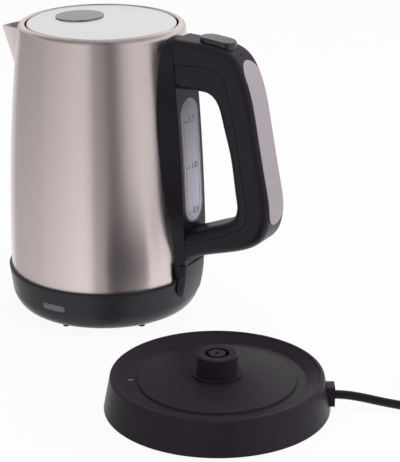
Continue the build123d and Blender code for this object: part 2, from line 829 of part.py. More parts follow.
def insert_prism(grow):
    skin = [p for p in outer_line if insert_low_z - 12 < p[1] < insert_high_z + 8]
    slab = across(band(shifted(skin, 3), shifted(skin, -insert_deep - grow)), insert_half + grow)
    return slab & pill_prism(insert_half + grow, insert_low_z - grow, insert_high_z + grow, shell_r, far)


def make_handle_insert():
    blade = insert_prism(0)
    proud = across(band(shifted(outer_line, 0.3), split_line), handle_half)
    return blade & proud


def make_lid_button():
    low = button_roof_z - run_gap - button_flange
    in_x, out_x = button_x - button_long / 2, button_x + button_long / 2
    in_z, out_z = crest_z(in_x) + button_proud_in, crest_z(out_x) + button_proud_out
    bow = rz(button_x, (in_z + out_z) / 2 + 0.5)
    dome = ThreePointArc(rz(in_x - 1, in_z), bow, rz(out_x + 1, out_z))
    above = filled(dome, *chain(dome @ 1, rz(out_x + 1, far), rz(in_x - 1, far), dome @ 0))
    pad = button_slot(0, low, rim_z + button_long) - across(above, button_wide)
    top_edges = [e for e in pad.edges() if e.bounding_box().min.Z > button_roof_z + button_flange]
    pad = fillet(top_edges, button_round)
    flange = box(in_x - button_lip, out_x, -button_wide / 2 - button_lip, button_wide / 2 + button_lip,
                 low, button_roof_z - run_gap)
    return pad + flange - rod(button_spring_r + button_spring_wire, 0, button_bore_z, x=button_x)


def make_button_spring():
    low = button_seat_z + seat_gap
    high = button_bore_z - seat_gap
    return Pos(button_x, 0, low) * compression_spring(button_spring_r, button_spring_wire, high - low, 4)


# Foot of the kettle

def make_bottom_housing():
    w = ring_wall
    toe_out = ThreePointArc(rz(ring_knee_r, ring_knee_z), ring_bulge(0), rz(ring_toe_r, ring_toe_z))
    toe_in = ThreePointArc(rz(ring_toe_r, ring_toe_z + w), ring_bulge(-w), rz(ring_knee_r - w, ring_knee_z))
    seat_r = shell_r + ring_lip_gap
    seat_z = shell_foot_z - seat_gap
    ledge_r = shell_r - shell_wall - 3
    hole_r = cover_r + seat_gap
    under = chain(toe_out @ 1, rz(hole_r, ring_toe_z), rz(hole_r, ring_toe_z + w), toe_in @ 0)
    ledge = chain(toe_in @ 1, rz(ring_knee_r - w, seat_z - 4), rz(ledge_r, seat_z - 2), rz(ledge_r, seat_z),
                  rz(seat_r, seat_z), rz(seat_r, ring_lip_z), rz(ring_lip_r, ring_lip_z))
    ring = turned(Line(rz(ring_lip_r, ring_lip_z), toe_out @ 0), toe_out, *under, toe_in, *ledge)
    ring -= lens_prism(seat_gap, mouth_r, far)
    reach = switch_arm_high / 2 + 4.5
    ring -= box(mouth_r, far, -switch_arm_half - run_gap, switch_arm_half + run_gap,
                switch_pivot_z - reach, switch_pivot_z + switch_arm_high / 2 + run_gap)
    return ring


def lens_prism(grow, y0, y1):
    # pill lying along the ring on the lamp side
    half = lens_high / 2 + grow
    run = lens_long / 2 - lens_high / 2
    blank = Pos(0, -(y0 + y1) / 2, lens_z) * Rot(90, 0, 0) * extrude(SlotCenterToCenter(run * 2, half * 2),
                                                                   amount=(y1 - y0) / 2, both=True)
    return blank


def make_indicator_lens():
    return lens_prism(0, ring_knee_r - lens_deep, far) & ring_core(0.3)


def make_indicator_lamp():
    y = -(ring_knee_r - lens_deep - lamp_r - seat_gap)
    return rod_x(lamp_r, -lamp_long / 2, lamp_long / 2, y=y, z=lens_z)


def soft_line(points):
    # polyline with every corner rounded as far as its runs allow
    radii = []
    for a, b, c in zip(points, points[1:], points[2:]):
        turn = radians((b - a).get_angle(c - b))
        radii.append(0.45 * min((b - a).length, (c - b).length) / tan(turn / 2))
    return FilletPolyline(*points, radius=radii), radii


def make_lamp_leads():
    back_y = -(ring_knee_r - lens_deep - 2 * lamp_r - 2 * seat_gap)
    side_y = -control_wide / 2 - 3.5 * seat_gap
    leads = []
    for side in (1, -1):
        points = [Vector(side * 3, back_y, lens_z), Vector(side * 4.2, -52, lens_z - 1.5),
                  Vector(side * 6, -34, lens_z + 2.4), Vector(side * 6.4, side_y, lens_z + 6.5)]
        leads.append(tube(soft_line(points)[0], lead_r))
    return Compound(leads)


def make_bottom_cover():
    top = cover_low_z + cover_thick
    cover = turned_ring((socket_bore_r + 1, cover_low_z), (cover_r, cover_low_z), (cover_r, top),
                        (socket_bore_r + 1, top))
    for x, y in cover_screw_spots:
        cover -= rod(screw_r + seat_gap, 0, far, x=x, y=y)
        cover -= rod(screw_head_r + seat_gap, 0, cover_low_z + screw_head_high, x=x, y=y)
    for k in range(foot_count):
        x, y = polar(foot_ring_r, 30 + 360 * k / foot_count)
        cover -= rod(foot_r / 2 + seat_gap, 0, far, x=x, y=y)
    return cover


cover_screw_spots = [polar(cover_screw_ring_r, 120 * k + 60) for k in range(3)]


def make_kettle_feet():
    feet = []
    for k in range(foot_count):
        x, y = polar(foot_ring_r, 30 + 360 * k / foot_count)
        foot = rod(foot_r, 0, cover_low_z - seat_gap / 2, x=x, y=y)
        feet.append(foot + rod(foot_r / 2, 1, cover_low_z + cover_thick, x=x, y=y))
    return Compound(feet)


def screw(long):
    # slotted flat head from z = 0, shank going up
    head = rod(screw_head_r, 0, screw_head_high) - box(-0.4, 0.4, -2, 2, -1, 0.6)
    return head + rod(screw_r, screw_head_high - 0.2, long)


def upright_screws(spots, z):
    return Compound([Pos(x, y, z) * screw(screw_long) for x, y in spots])


def make_handle_screws():
    # from inside the vessel into the handle
    screws = []
    for z in handle_screw_z:
        head_x = wall_radius(z + screw_head_r) - shell_wall - screw_head_high - 2 * seat_gap
        screws.append(Pos(head_x, 0, z) * Rot(0, 90, 0) * screw(handle_screw_end - head_x))
    return Compound(screws)


def make_kettle_socket():
    low = cover_low_z + cover_thick
    flange_r = socket_r + 4
    socket = turned_ring((socket_bore_r, low), (flange_r, low), (flange_r, low + 2), (socket_r, low + 2),
                         (socket_r, socket_top_z), (0, socket_top_z), (0, socket_deep_z),
                         (socket_bore_r, socket_deep_z))
    pin_hole = rod(socket_pin_r + seat_gap, socket_deep_z - 1, socket_top_z - 1)
    return socket - pin_hole - contact_rings(seat_gap)


def make_socket_pin():
    return rod(socket_pin_r, cover_low_z + 4, socket_top_z - 1 - seat_gap)


def contact_rings(grow):
    low = socket_deep_z - 6
    inside, outside = socket_contact_r - 0.5 - grow, socket_contact_r + 0.5 + grow
    high = socket_top_z - 1.5 + grow
    return turned_ring((inside, low), (outside, low), (outside, high), (inside, high))


def make_socket_contacts():
    return contact_rings(0)


def make_thermostat_control():
    low = socket_top_z
    high = low + control_high
    block = box(-control_long / 2, control_long / 2, -control_wide / 2, control_wide / 2, low, high)
    ear_x = switch_pivot_x
    for side in (1, -1):
        y = side * (switch_arm_half + 2.5)
        arm = box(control_long / 2 - 1, ear_x + 3, y - 1.8, y + 1.8, low, high)
        block += arm
    return block - rod_y(switch_pin_r + pin_gap, -far, far, x=ear_x, z=switch_pivot_z)


def make_switch_pin():
    half = switch_arm_half + 4.3
    return rod_y(switch_pin_r, -half, half, x=switch_pivot_x, z=switch_pivot_z)


def make_switch_lever():
    # curved lever below the handle, on an arm that pivots in the control
    middle = rz(switch_middle_x, switch_middle_z)
    face = ThreePointArc(rz(switch_high_x, switch_high_z), middle, rz(switch_low_x, switch_low_z))
    back_x = ring_lip_r + switch_thick
    back = chain(face @ 1, rz(switch_low_x - switch_thick, switch_low_z), rz(back_x, ring_lip_z + 1),
                 rz(back_x, switch_high_z), face @ 0)
    paddle = across(filled(face, *back), switch_half)
    corners = [Vertex(middle.X, y, middle.Z) for y in (switch_half, -switch_half)]
    rim = [e for e in paddle.edges() if any(e.distance_to(corner) < 0.05 for corner in corners)]
    paddle = fillet(rim, switch_round)
    half_high = switch_arm_high / 2
    arm = box(switch_pivot_x, back_x + 0.2, -switch_arm_half, switch_arm_half,
              switch_pivot_z - half_high, switch_pivot_z + half_high)
    arm += rod_y(half_high, -switch_arm_half, switch_arm_half, x=switch_pivot_x, z=switch_pivot_z)
    return paddle + arm - rod_y(switch_pin_r + pin_gap, -far, far, x=switch_pivot_x, z=switch_pivot_z)


# Power base

def make_base_top():
    w = base_wall
    crest_out = base_crest_r + 1.2
    crest_in = base_crest_r - 2.6
    step_z = base_trough_z + base_step_high
    hole_r = tower_neck_r + seat_gap
    crown = ThreePointArc(rz(crest_out, base_crest_z - 1.4), rz(base_crest_r - 0.2, base_crest_z),
                          rz(crest_in, base_crest_z - 1.0))
    edge_low = rz(base_r, base_low_z)
    top = turned(Line(edge_low, crown @ 0), crown,
                 *chain(crown @ 1, rz(base_trough_r, base_trough_z), rz(base_step_r, base_trough_z),
                        rz(base_step_r - 0.6, step_z), rz(collar_r, collar_z),
                        rz(collar_r, collar_z + collar_high),
                        rz(hole_r, collar_z + collar_high), rz(hole_r, collar_z - w),
                        rz(base_step_r - 0.6, step_z - w), rz(base_step_r - 0.6, base_trough_z - w),
                        rz(base_trough_r, base_trough_z - w), rz(crest_out - w - 2, base_crest_z - w - 1.6),
                        rz(base_r - w, base_low_z), edge_low))
    x, y = polar(drain_ring_r, drain_heading)
    top -= rod(drain_r, 0, far, x=x, y=y)
    top -= Rot(0, 0, cord_heading) * rod_x(gland_neck_r + seat_gap, base_trough_r, far, z=gland_z)
    for sx, sy in base_screw_spots:
        top += rod(base_boss_r, plate_top_z, step_z - w + 1.2, x=sx, y=sy)
        top -= rod(screw_r + seat_gap, 0, base_low_z + screw_long + seat_gap, x=sx, y=sy)
    return top


plate_top_z = base_low_z + plate_thick
base_screw_spots = [polar(base_screw_ring_r, 120 * k + 90) for k in range(3)]


def make_base_plate():
    plate = rod(plate_r, base_low_z, plate_top_z)
    x, y = polar(drain_ring_r, drain_heading)
    plate -= rod(drain_r, 0, far, x=x, y=y)
    for sx, sy in base_screw_spots:
        plate -= rod(screw_r + seat_gap, 0, far, x=sx, y=sy)
        plate -= rod(screw_head_r + seat_gap, 0, base_low_z + screw_head_high, x=sx, y=sy)
    return plate


def make_connector_tower():
    shoulder_z = collar_z + collar_high + run_gap
    tower = chamfer(rod(tower_r, shoulder_z, tower_top_z).edges().sort_by(Axis.Z)[-1], tower_chamfer)
    tower += rod(tower_neck_r, plate_top_z, shoulder_z)
    floor = tower_top_z - tower_groove_deep
    groove = rod(tower_groove_r, floor, far) - rod(tower_island_r, floor, far)
    return tower - groove - rod(tower_hole_r, floor, far)


def make_tower_contacts():
    low = tower_top_z - tower_groove_deep
    high = low + tower_groove_deep / 2
    inside, outside = tower_island_r + 0.3, tower_island_r + 1.0
    return turned_ring((inside, low), (outside, low), (outside, high), (inside, high))


def make_base_feet():
    feet = []
    for k in range(base_foot_count):
        x, y = polar(base_foot_ring_r, -90 + 360 * k / base_foot_count)
        feet.append(rod(base_foot_r, 0, base_low_z, x=x, y=y))
    return Compound(feet)


# Cord, drawn about the base axis

along = Vector(cos(radians(cord_heading)), sin(radians(cord_heading)), 0)
aside = Vector(sin(radians(cord_heading)), -cos(radians(cord_heading)), 0)


def on_table(u, v, z):
    return along * u + aside * v + Vector(0, 0, z)


def make_cord_gland():
    neck = rod_x(gland_neck_r, gland_out - gland_thick - gland_tail, gland_out - gland_thick / 2, z=gland_z)
    plate = box(gland_out - gland_thick, gland_out, -gland_wide / 2, gland_wide / 2,
                gland_z - gland_high / 2, gland_z + gland_high / 2)
    plate = fillet([e for e in plate.edges() if abs((e % 0.5).X) > 0.99], 2.5)
    skirt = turned_ring((0, 0), (base_r + seat_gap, 0), (base_r + seat_gap, base_low_z),
                        (base_crest_r + 1.2 + seat_gap, base_crest_z - 1.4), (0, base_crest_z))
    gland = neck + (plate - skirt) - rod_x(cord_r + seat_gap, 0, far, z=gland_z)
    return Rot(0, 0, cord_heading) * gland


cord_route = [(62, 0, 10), (84, 0, 10), (98, 1.2, 8.8), (118, 4.6, 5.4), (140, 9.2, 3.5), (160, 11.7, 3.9),
              (178, 11.7, 3.9)]
coil_centre = (178, 11.7 - coil_r)


def make_cord_lead():
    points = [on_table(*p) for p in cord_route]
    path, radii = soft_line(points)
    print("cord lead radii", [round(r) for r in radii])
    lead = tube(path, cord_r)
    share = lead.volume / (pi * cord_r ** 2 * path.length)
    print("cord lead length", round(path.length, 1), "volume share", round(share, 4))
    return lead, path.length


def coil_place(t):
    # the radius shrinks by one step a turn, the end of that run climbs, and the upper layer opens out again
    a, b = coil_in_turns, coil_in_turns + coil_climb_turns
    if t < a:
        return coil_r - coil_step * t, coil_floor
    if t < b:
        share = (t - a) / coil_climb_turns
        return coil_r - coil_step * t, coil_floor + coil_lift * (3 - 2 * share) * share ** 2
    return coil_r - coil_step * b + coil_step_out * (t - b), coil_floor + coil_lift


def coil_spot(t):
    r, z = coil_place(t)
    a = pi / 2 - 2 * pi * t
    return on_table(coil_centre[0] + r * cos(a), coil_centre[1] + r * sin(a), z)


def coil_course(t):
    small = 1e-4
    if t < small:
        return along
    return coil_spot(t + small) - coil_spot(t - small)


def make_cord_coil():
    turns = coil_in_turns + coil_climb_turns + coil_out_turns
    marks = [0, 0.35, 0.7, 1.05, coil_in_turns, coil_in_turns + 0.25, coil_in_turns + coil_climb_turns]
    marks += [marks[-1] + coil_out_turns * k / 4 for k in range(1, 5)]
    edges = []
    for a, b in zip(marks, marks[1:]):
        edges += biarc(coil_spot(a), coil_course(a).normalized(), coil_spot(b), coil_course(b).normalized())
    end = coil_spot(turns)
    course = coil_course(turns).normalized()
    nose = plug_tip_start()
    edges += biarc(end, course, nose, plug_course)
    path = Wire(edges)
    coil = tube(path, cord_r)
    share = coil.volume / (pi * cord_r ** 2 * path.length)
    print("coil length", round(path.length, 1), "volume share", round(share, 4))
    count = 400
    spots = [path @ (i / count) for i in range(count + 1)]
    apart = round(count * 2.2 * pi * cord_r / path.length)
    least = min((spots[i] - spots[j]).length for i in range(count + 1) for j in range(i + apart, count + 1))
    print("coil least gap to itself", round(least - 2 * cord_r, 2))
    return coil, path.length


plug_course = (aside * -1 + Vector(0, 0, 0)).normalized()


def plug_tip_start():
    # where the cord enters the plug's neck: beyond the coil, at the height of the plug lying on its side
    end_r = coil_place(coil_in_turns + coil_climb_turns + coil_out_turns)[0]
    return on_table(coil_centre[0] + end_r + 1.2, coil_centre[1] - 42, plug_r + 0.1)


def make_plug():
    start = plug_tip_start()
    plane = Plane(start, z_dir=plug_course, x_dir=Vector(0, 0, 1))
    end = plug_neck + plug_long
    body = turned_ring((0, 0), (cord_r + 0.6, 0), (cord_r + 3.2, plug_neck), (plug_r - 3, plug_neck + 6),
                       (plug_r, plug_neck + 12), (plug_r, end), (0, end))
    pins = []
    for side in (1, -1):
        y = side * plug_pin_pitch / 2
        body -= rod(plug_pin_r + seat_gap, end - 8, end + 1, y=y)
        pin = rod(plug_pin_r, end - 8 + seat_gap, end + plug_pin_long, y=y)
        pins.append(fillet(pin.edges().sort_by(Axis.Z)[-1], plug_pin_r / 2))
    return plane.location * body, plane.location * Compound(pins)


def make_cord_tie():
    # flat strap round the bundle at the side away from the plug
    passes = [coil_place(t)[0] for t in (0.75, 1.75, 2.75)]
    low_r, high_r = min(passes) - cord_r - 1.3, max(passes) + cord_r + 1.3
    top = coil_floor + coil_lift + cord_r + 0.5
    t = tie_thick
    low = seat_gap / 5
    strap = box(low_r - t, high_r + t, -tie_wide / 2, tie_wide / 2, low, top + t)
    strap -= box(low_r, high_r, -tie_wide, tie_wide, low + t, top)
    centre = on_table(coil_centre[0], coil_centre[1], 0)
    return Pos(centre.X, centre.Y, 0) * Rot(0, 0, cord_heading - 180) * strap


def make_base_leads():
    # three cores from the gland to the connector, under the top
    leads = []
    start_u = gland_out - gland_thick - gland_tail - 0.5
    for k, v in enumerate((-4, 0, 4)):
        points = [on_table(start_u, v * 0.5, gland_z), on_table(start_u - 12, v * 0.9, gland_z + 0.8),
                  on_table(start_u - 26, v * 1.3, gland_z - 0.6),
                  on_table(tower_neck_r + 0.3, v * 1.1, gland_z)]
        leads.append(tube(soft_line(points)[0], lead_r))
    return Compound(leads)


def main():
    os.makedirs("parts", exist_ok=True)
    lead, lead_length = make_cord_lead()
    coil, coil_length = make_cord_coil()
    plug_body, plug_pins = make_plug()
    print("cord length in all", round(lead_length + coil_length))
    kettle = {
        "body_shell": make_body_shell(),
        "spout": make_spout(),
        "filter_frame": make_filter_frame(),
        "filter_mesh": make_filter_mesh(),
        "vessel_floor": make_vessel_floor(),
        "heat_spreader": make_heat_spreader(),
        "heating_element": make_heating_element(),
        "lid_collar": make_lid_collar(),
        "lid_plate": make_lid_plate(),
        "lid_disc": make_lid_disc(),
        "lid_inner": make_lid_inner(),
        "lid_hinge_pin": make_lid_hinge_pin(),
        "lid_spring": make_lid_spring(),
        "lid_latch": make_lid_latch(),
        "latch_spring": make_latch_spring(),
        "handle_mount": make_handle_mount(),
        "handle_grip": make_handle_grip(),
        "handle_cover": make_handle_cover(),
        "handle_insert": make_handle_insert(),
        "lid_button": make_lid_button(),
        "button_spring": make_button_spring(),
        "handle_screws": make_handle_screws(),
        "steam_tube": make_steam_tube(),
        "gauge_window": make_gauge_window(),
        "gauge_seal": make_gauge_seal(),
        "bottom_housing": make_bottom_housing(),
        "bottom_cover": make_bottom_cover(),
        "kettle_feet": make_kettle_feet(),
        "cover_screws": upright_screws(cover_screw_spots, cover_low_z),
        "kettle_socket": make_kettle_socket(),
        "socket_pin": make_socket_pin(),
        "socket_contacts": make_socket_contacts(),
        "thermostat_control": make_thermostat_control(),
        "switch_lever": make_switch_lever(),
        "switch_pin": make_switch_pin(),
        "indicator_lens": make_indicator_lens(),
        "indicator_lamp": make_indicator_lamp(),
        "lamp_leads": make_lamp_leads(),
    }
    base = {
        "base_top": make_base_top(),
        "base_plate": make_base_plate(),
        "connector_tower": make_connector_tower(),
        "tower_contacts": make_tower_contacts(),
        "base_feet": make_base_feet(),
        "base_screws": upright_screws(base_screw_spots, base_low_z),
        "base_leads": make_base_leads(),
        "cord_gland": make_cord_gland(),
        "cord_lead": lead,
        "cord_coil": coil,
        "cord_tie": make_cord_tie(),
        "plug_body": plug_body,
        "plug_pins": plug_pins,
    }
    for name, piece in kettle.items():
        export_step(Pos(kettle_x, kettle_y, 0) * piece, f"parts/{name}.step")
    for name, piece in base.items():
        export_step(Pos(base_x, base_y, 0) * piece, f"parts/{name}.step")


main()
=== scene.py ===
import math

import bmesh
import bpy
import numpy as np
from mathutils import Matrix, Vector


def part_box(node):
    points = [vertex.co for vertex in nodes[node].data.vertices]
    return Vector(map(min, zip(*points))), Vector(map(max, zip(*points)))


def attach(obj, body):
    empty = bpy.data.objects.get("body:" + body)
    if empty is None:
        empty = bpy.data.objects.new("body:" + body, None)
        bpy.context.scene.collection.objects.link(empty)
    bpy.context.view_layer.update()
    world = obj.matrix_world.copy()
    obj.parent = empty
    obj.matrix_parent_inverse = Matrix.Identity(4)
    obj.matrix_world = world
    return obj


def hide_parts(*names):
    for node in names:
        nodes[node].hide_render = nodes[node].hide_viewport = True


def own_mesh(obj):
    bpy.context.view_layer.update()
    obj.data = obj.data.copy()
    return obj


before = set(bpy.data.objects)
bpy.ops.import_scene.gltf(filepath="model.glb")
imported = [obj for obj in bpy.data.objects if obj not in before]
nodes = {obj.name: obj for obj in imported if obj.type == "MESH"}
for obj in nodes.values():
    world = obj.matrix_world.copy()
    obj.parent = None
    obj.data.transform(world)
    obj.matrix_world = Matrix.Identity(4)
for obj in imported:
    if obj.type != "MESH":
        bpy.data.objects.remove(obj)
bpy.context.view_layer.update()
print("stage: frame loaded,", len(nodes), "nodes")

# where the two halves of the set stand, in metres
stance = {"kettleAxis": (-0.07965, 0.0632), "baseAxis": (0.09235, -0.0613), "cordHeading": 30.0}


def addObject(name, data):
    obj = bpy.data.objects.new(name, data)
    bpy.context.collection.objects.link(obj)
    return obj


def aimed(place, course):
    # stands at the place, looks along the course and keeps its top side up
    turn = Vector(course).to_track_quat("-Z", "Y").to_matrix().to_4x4()
    return Matrix.Translation(place) @ turn


# camera at the photograph's place, long lens, looking down on the set
cameraSetup = {"place": (0.62325, -1.0047, 0.5334), "lens": 133.44, "sensor": 36.0,
               "bearing": 120.0, "pitchDown": 20.37, "clip": (0.05, 50.0)}


def placeCamera(setup):
    data = bpy.data.cameras.new("studioCamera")
    data.sensor_fit = "AUTO"
    data.sensor_width = setup["sensor"]
    data.lens = setup["lens"]
    data.clip_start, data.clip_end = setup["clip"]
    cam = addObject("studioCamera", data)
    bearing, pitch = math.radians(setup["bearing"]), math.radians(setup["pitchDown"])
    cam.matrix_world = aimed(setup["place"], (math.cos(bearing) * math.cos(pitch),
                                              math.sin(bearing) * math.cos(pitch), -math.sin(pitch)))
    bpy.context.scene.camera = cam


placeCamera(cameraSetup)
bpy.context.scene.view_settings.view_transform = "Standard"
print("stage: camera placed")


# node helpers

def feed(tree, node, inputs):
    for key, value in inputs.items():
        if isinstance(value, bpy.types.NodeSocket):
            tree.links.new(value, node.inputs[key])
        else:
            node.inputs[key].default_value = value


def addNode(tree, kind, inputs=None, **settings):
    node = tree.nodes.new("ShaderNode" + kind)
    for key, value in settings.items():
        setattr(node, key, value)
    feed(tree, node, inputs or {})
    return node


def addMath(tree, operation, *values):
    return addNode(tree, "Math", dict(enumerate(values)), operation=operation).outputs[0]


def addRange(tree, value, span, to=(0.0, 1.0)):
    return addNode(tree, "MapRange", {"Value": value, "From Min": span[0], "From Max": span[1],
                                      "To Min": to[0], "To Max": to[1]}).outputs[0]


def newMaterial(name):
    mat = bpy.data.materials.new(name)
    mat.use_nodes = True
    tree = mat.node_tree
    tree.nodes.clear()
    bsdf = addNode(tree, "BsdfPrincipled")
    out = addNode(tree, "OutputMaterial", {"Surface": bsdf.outputs["BSDF"]})
    return mat, tree, bsdf, out


def newGroup(name, inputs, outputs):
    group = bpy.data.node_groups.new(name, "ShaderNodeTree")
    for label, kind, value in inputs:
        sock = group.interface.new_socket(label, in_out="INPUT", socket_type="NodeSocket" + kind)
        if value is not None:
            sock.default_value = value
    for label, kind in outputs:
        group.interface.new_socket(label, in_out="OUTPUT", socket_type="NodeSocket" + kind)
    return group, group.nodes.new("NodeGroupInput"), group.nodes.new("NodeGroupOutput")


def dress(names, mat):
    for name in names:
        obj = nodes[name]
        obj.data.materials.clear()
        obj.data.materials.append(mat)


# shared finishes: each group puts out a colour, a roughness and the height of its relief
finishOutputs = [("Color", "Color"), ("Roughness", "Float"), ("Height", "Float")]
brushSetup = {"wideScale": 0.41, "wideShare": 0.45, "fineShare": 0.55, "colorSpan": (0.32, 0.68),
              "roughSpan": (0.3, 0.7), "depth": 0.00004}
skinSetup = {"pebbleGrit": 0.4, "cloudScale": 38.0, "roughDrift": 0.6, "depth": 0.00005}


def makeBrushGroup(setup):
    # hairlines: noise squeezed hard along one axis, plus a wider slow variation of the same kind
    group, gin, gout = newGroup(
        "hairlineBrush",
        [("Vector", "Vector", None), ("Light", "Color", (0.7, 0.7, 0.7, 1)),
         ("Dark", "Color", (0.6, 0.6, 0.6, 1)), ("Rough low", "Float", 0.25),
         ("Rough high", "Float", 0.4)], finishOutputs)
    given = gin.outputs
    fine = addNode(group, "TexNoise", {"Vector": given["Vector"], "Scale": 1.0, "Detail": 2.0})
    wide = addNode(group, "TexNoise", {"Vector": given["Vector"], "Scale": setup["wideScale"],
                                       "Detail": 1.0})
    fineLines = addMath(group, "MULTIPLY", fine.outputs["Fac"], setup["fineShare"])
    lines = addMath(group, "MULTIPLY_ADD", wide.outputs["Fac"], setup["wideShare"], fineLines)
    mix = addNode(group, "Mix", {"Factor": addRange(group, lines, setup["colorSpan"]),
                                 "A": given["Dark"], "B": given["Light"]}, data_type="RGBA")
    rough = addRange(group, lines, setup["roughSpan"], (given["Rough low"], given["Rough high"]))
    feed(group, gout, {"Color": mix.outputs["Result"], "Roughness": rough, "Height": lines})
    return group


def makeSkinGroup(setup):
    # moulded skin: a fine pebble for the bump, and a slow cloud that shifts colour and roughness
    group, gin, gout = newGroup(
        "mouldedSkin",
        [("Color", "Color", (0.03, 0.03, 0.03, 1)), ("Pebble", "Float", 2600.0),
         ("Rough", "Float", 0.4), ("Cloud", "Float", 0.12)], finishOutputs)
    given = gin.outputs
    place = addNode(group, "TexCoord").outputs["Object"]
    pebble = addNode(group, "TexNoise", {"Vector": place, "Scale": given["Pebble"], "Detail": 1.0,
                                         "Roughness": setup["pebbleGrit"]})
    cloud = addNode(group, "TexNoise", {"Vector": place, "Scale": setup["cloudScale"], "Detail": 4.0})
    drift = addMath(group, "MULTIPLY", addMath(group, "SUBTRACT", cloud.outputs["Fac"], 0.5),
                    given["Cloud"])
    tint = addNode(group, "VectorMath", {0: given["Color"], "Scale": addMath(group, "ADD", drift, 1.0)},
                   operation="SCALE")
    rough = addMath(group, "MULTIPLY_ADD", drift, setup["roughDrift"], given["Rough"])
    feed(group, gout, {"Color": tint.outputs[0], "Roughness": rough, "Height": pebble.outputs["Fac"]})
    return group


brushGroup = makeBrushGroup(brushSetup)
skinGroup = makeSkinGroup(skinSetup)


def wearGroup(tree, bsdf, group, given, strength, depth):
    # a finish group on the shader, its height as bump
    skin = addNode(tree, "Group", given, node_tree=group).outputs
    bump = addNode(tree, "Bump", {"Height": skin["Height"], "Strength": strength, "Distance": depth})
    feed(tree, bsdf, {"Base Color": skin["Color"], "Roughness": skin["Roughness"],
                      "Normal": bump.outputs[0]})


def steelFinish(name, look):
    # brushed metal, hairlines level or straight; where it is drawn, the reflection spreads across them
    mat, tree, bsdf, _ = newMaterial(name)
    place = addNode(tree, "TexCoord")
    squeeze = addNode(tree, "Mapping", {"Vector": place.outputs["Object"], "Scale": look["squeeze"]})
    given = {"Vector": squeeze.outputs[0], "Light": (*look["light"], 1), "Dark": (*look["dark"], 1),
             "Rough low": look["rough"][0], "Rough high": look["rough"][1]}
    wearGroup(tree, bsdf, brushGroup, given, look["bump"], brushSetup["depth"])
    bsdf.inputs["Metallic"].default_value = 1.0
    if "drawn" in look:
        tangent = addNode(tree, "Tangent", direction_type="RADIAL", axis="Z")
        feed(tree, bsdf, {"Anisotropic": look["drawn"], "Anisotropic Rotation": look["drawnTurn"],
                          "Tangent": tangent.outputs[0]})
    return mat


def plasticFinish(name, look):
    # moulded plastic, rubber or paint
    mat, tree, bsdf, _ = newMaterial(name)
    given = {"Color": (*look["color"], 1), "Pebble": look["pebble"], "Rough": look["rough"],
             "Cloud": look["cloud"]}
    wearGroup(tree, bsdf, skinGroup, given, look["bump"], skinSetup["depth"])
    feed(tree, bsdf, {"Metallic": look.get("metal", 0.0), "Specular IOR Level": look.get("shine", 0.5),
                      "Transmission Weight": look.get("through", 0.0), "IOR": look.get("ior", 1.48)})
    return mat


steelLooks = {
    "shellSteel": {"light": (0.785, 0.680, 0.671), "dark": (0.755, 0.654, 0.645),
                   "rough": (0.272, 0.292), "bump": 0.003, "squeeze": (9.0, 9.0, 3600.0),
                   "drawn": 0.75, "drawnTurn": 0.25, "nodes": ["body_shell", "spout"]},
    "lidSteel": {"light": (0.93, 0.92, 0.925), "dark": (0.89, 0.88, 0.885), "rough": (0.30, 0.38),
                 "bump": 0.05, "squeeze": (1200.0, 9.0, 9.0), "nodes": ["lid_plate"]},
    "panSteel": {"light": (0.70, 0.69, 0.68), "dark": (0.60, 0.59, 0.58), "rough": (0.25, 0.40),
                 "bump": 0.05, "squeeze": (40.0, 900.0, 40.0),
                 "nodes": ["vessel_floor", "filter_mesh", "steam_tube"]},
    "wireSteel": {"light": (0.76, 0.76, 0.77), "dark": (0.62, 0.62, 0.63), "rough": (0.18, 0.30),
                  "bump": 0.02, "squeeze": (300.0, 300.0, 300.0),
                  "nodes": ["lid_spring", "latch_spring", "button_spring", "lid_hinge_pin",
                            "switch_pin", "handle_screws", "cover_screws", "base_screws"]},
    "plateAluminium": {"light": (0.80, 0.80, 0.81), "dark": (0.70, 0.70, 0.71), "rough": (0.35, 0.50),
                       "bump": 0.05, "squeeze": (60.0, 60.0, 60.0), "nodes": ["heat_spreader"]},
    "elementSheath": {"light": (0.46, 0.45, 0.45), "dark": (0.36, 0.35, 0.35), "rough": (0.40, 0.55),
                      "bump": 0.05, "squeeze": (120.0, 120.0, 120.0), "nodes": ["heating_element"]},
    "contactBrass": {"light": (0.80, 0.64, 0.33), "dark": (0.68, 0.52, 0.25), "rough": (0.20, 0.35),
                     "bump": 0.03, "squeeze": (200.0, 200.0, 800.0),
                     "nodes": ["socket_contacts", "socket_pin", "tower_contacts", "plug_pins"]},
}
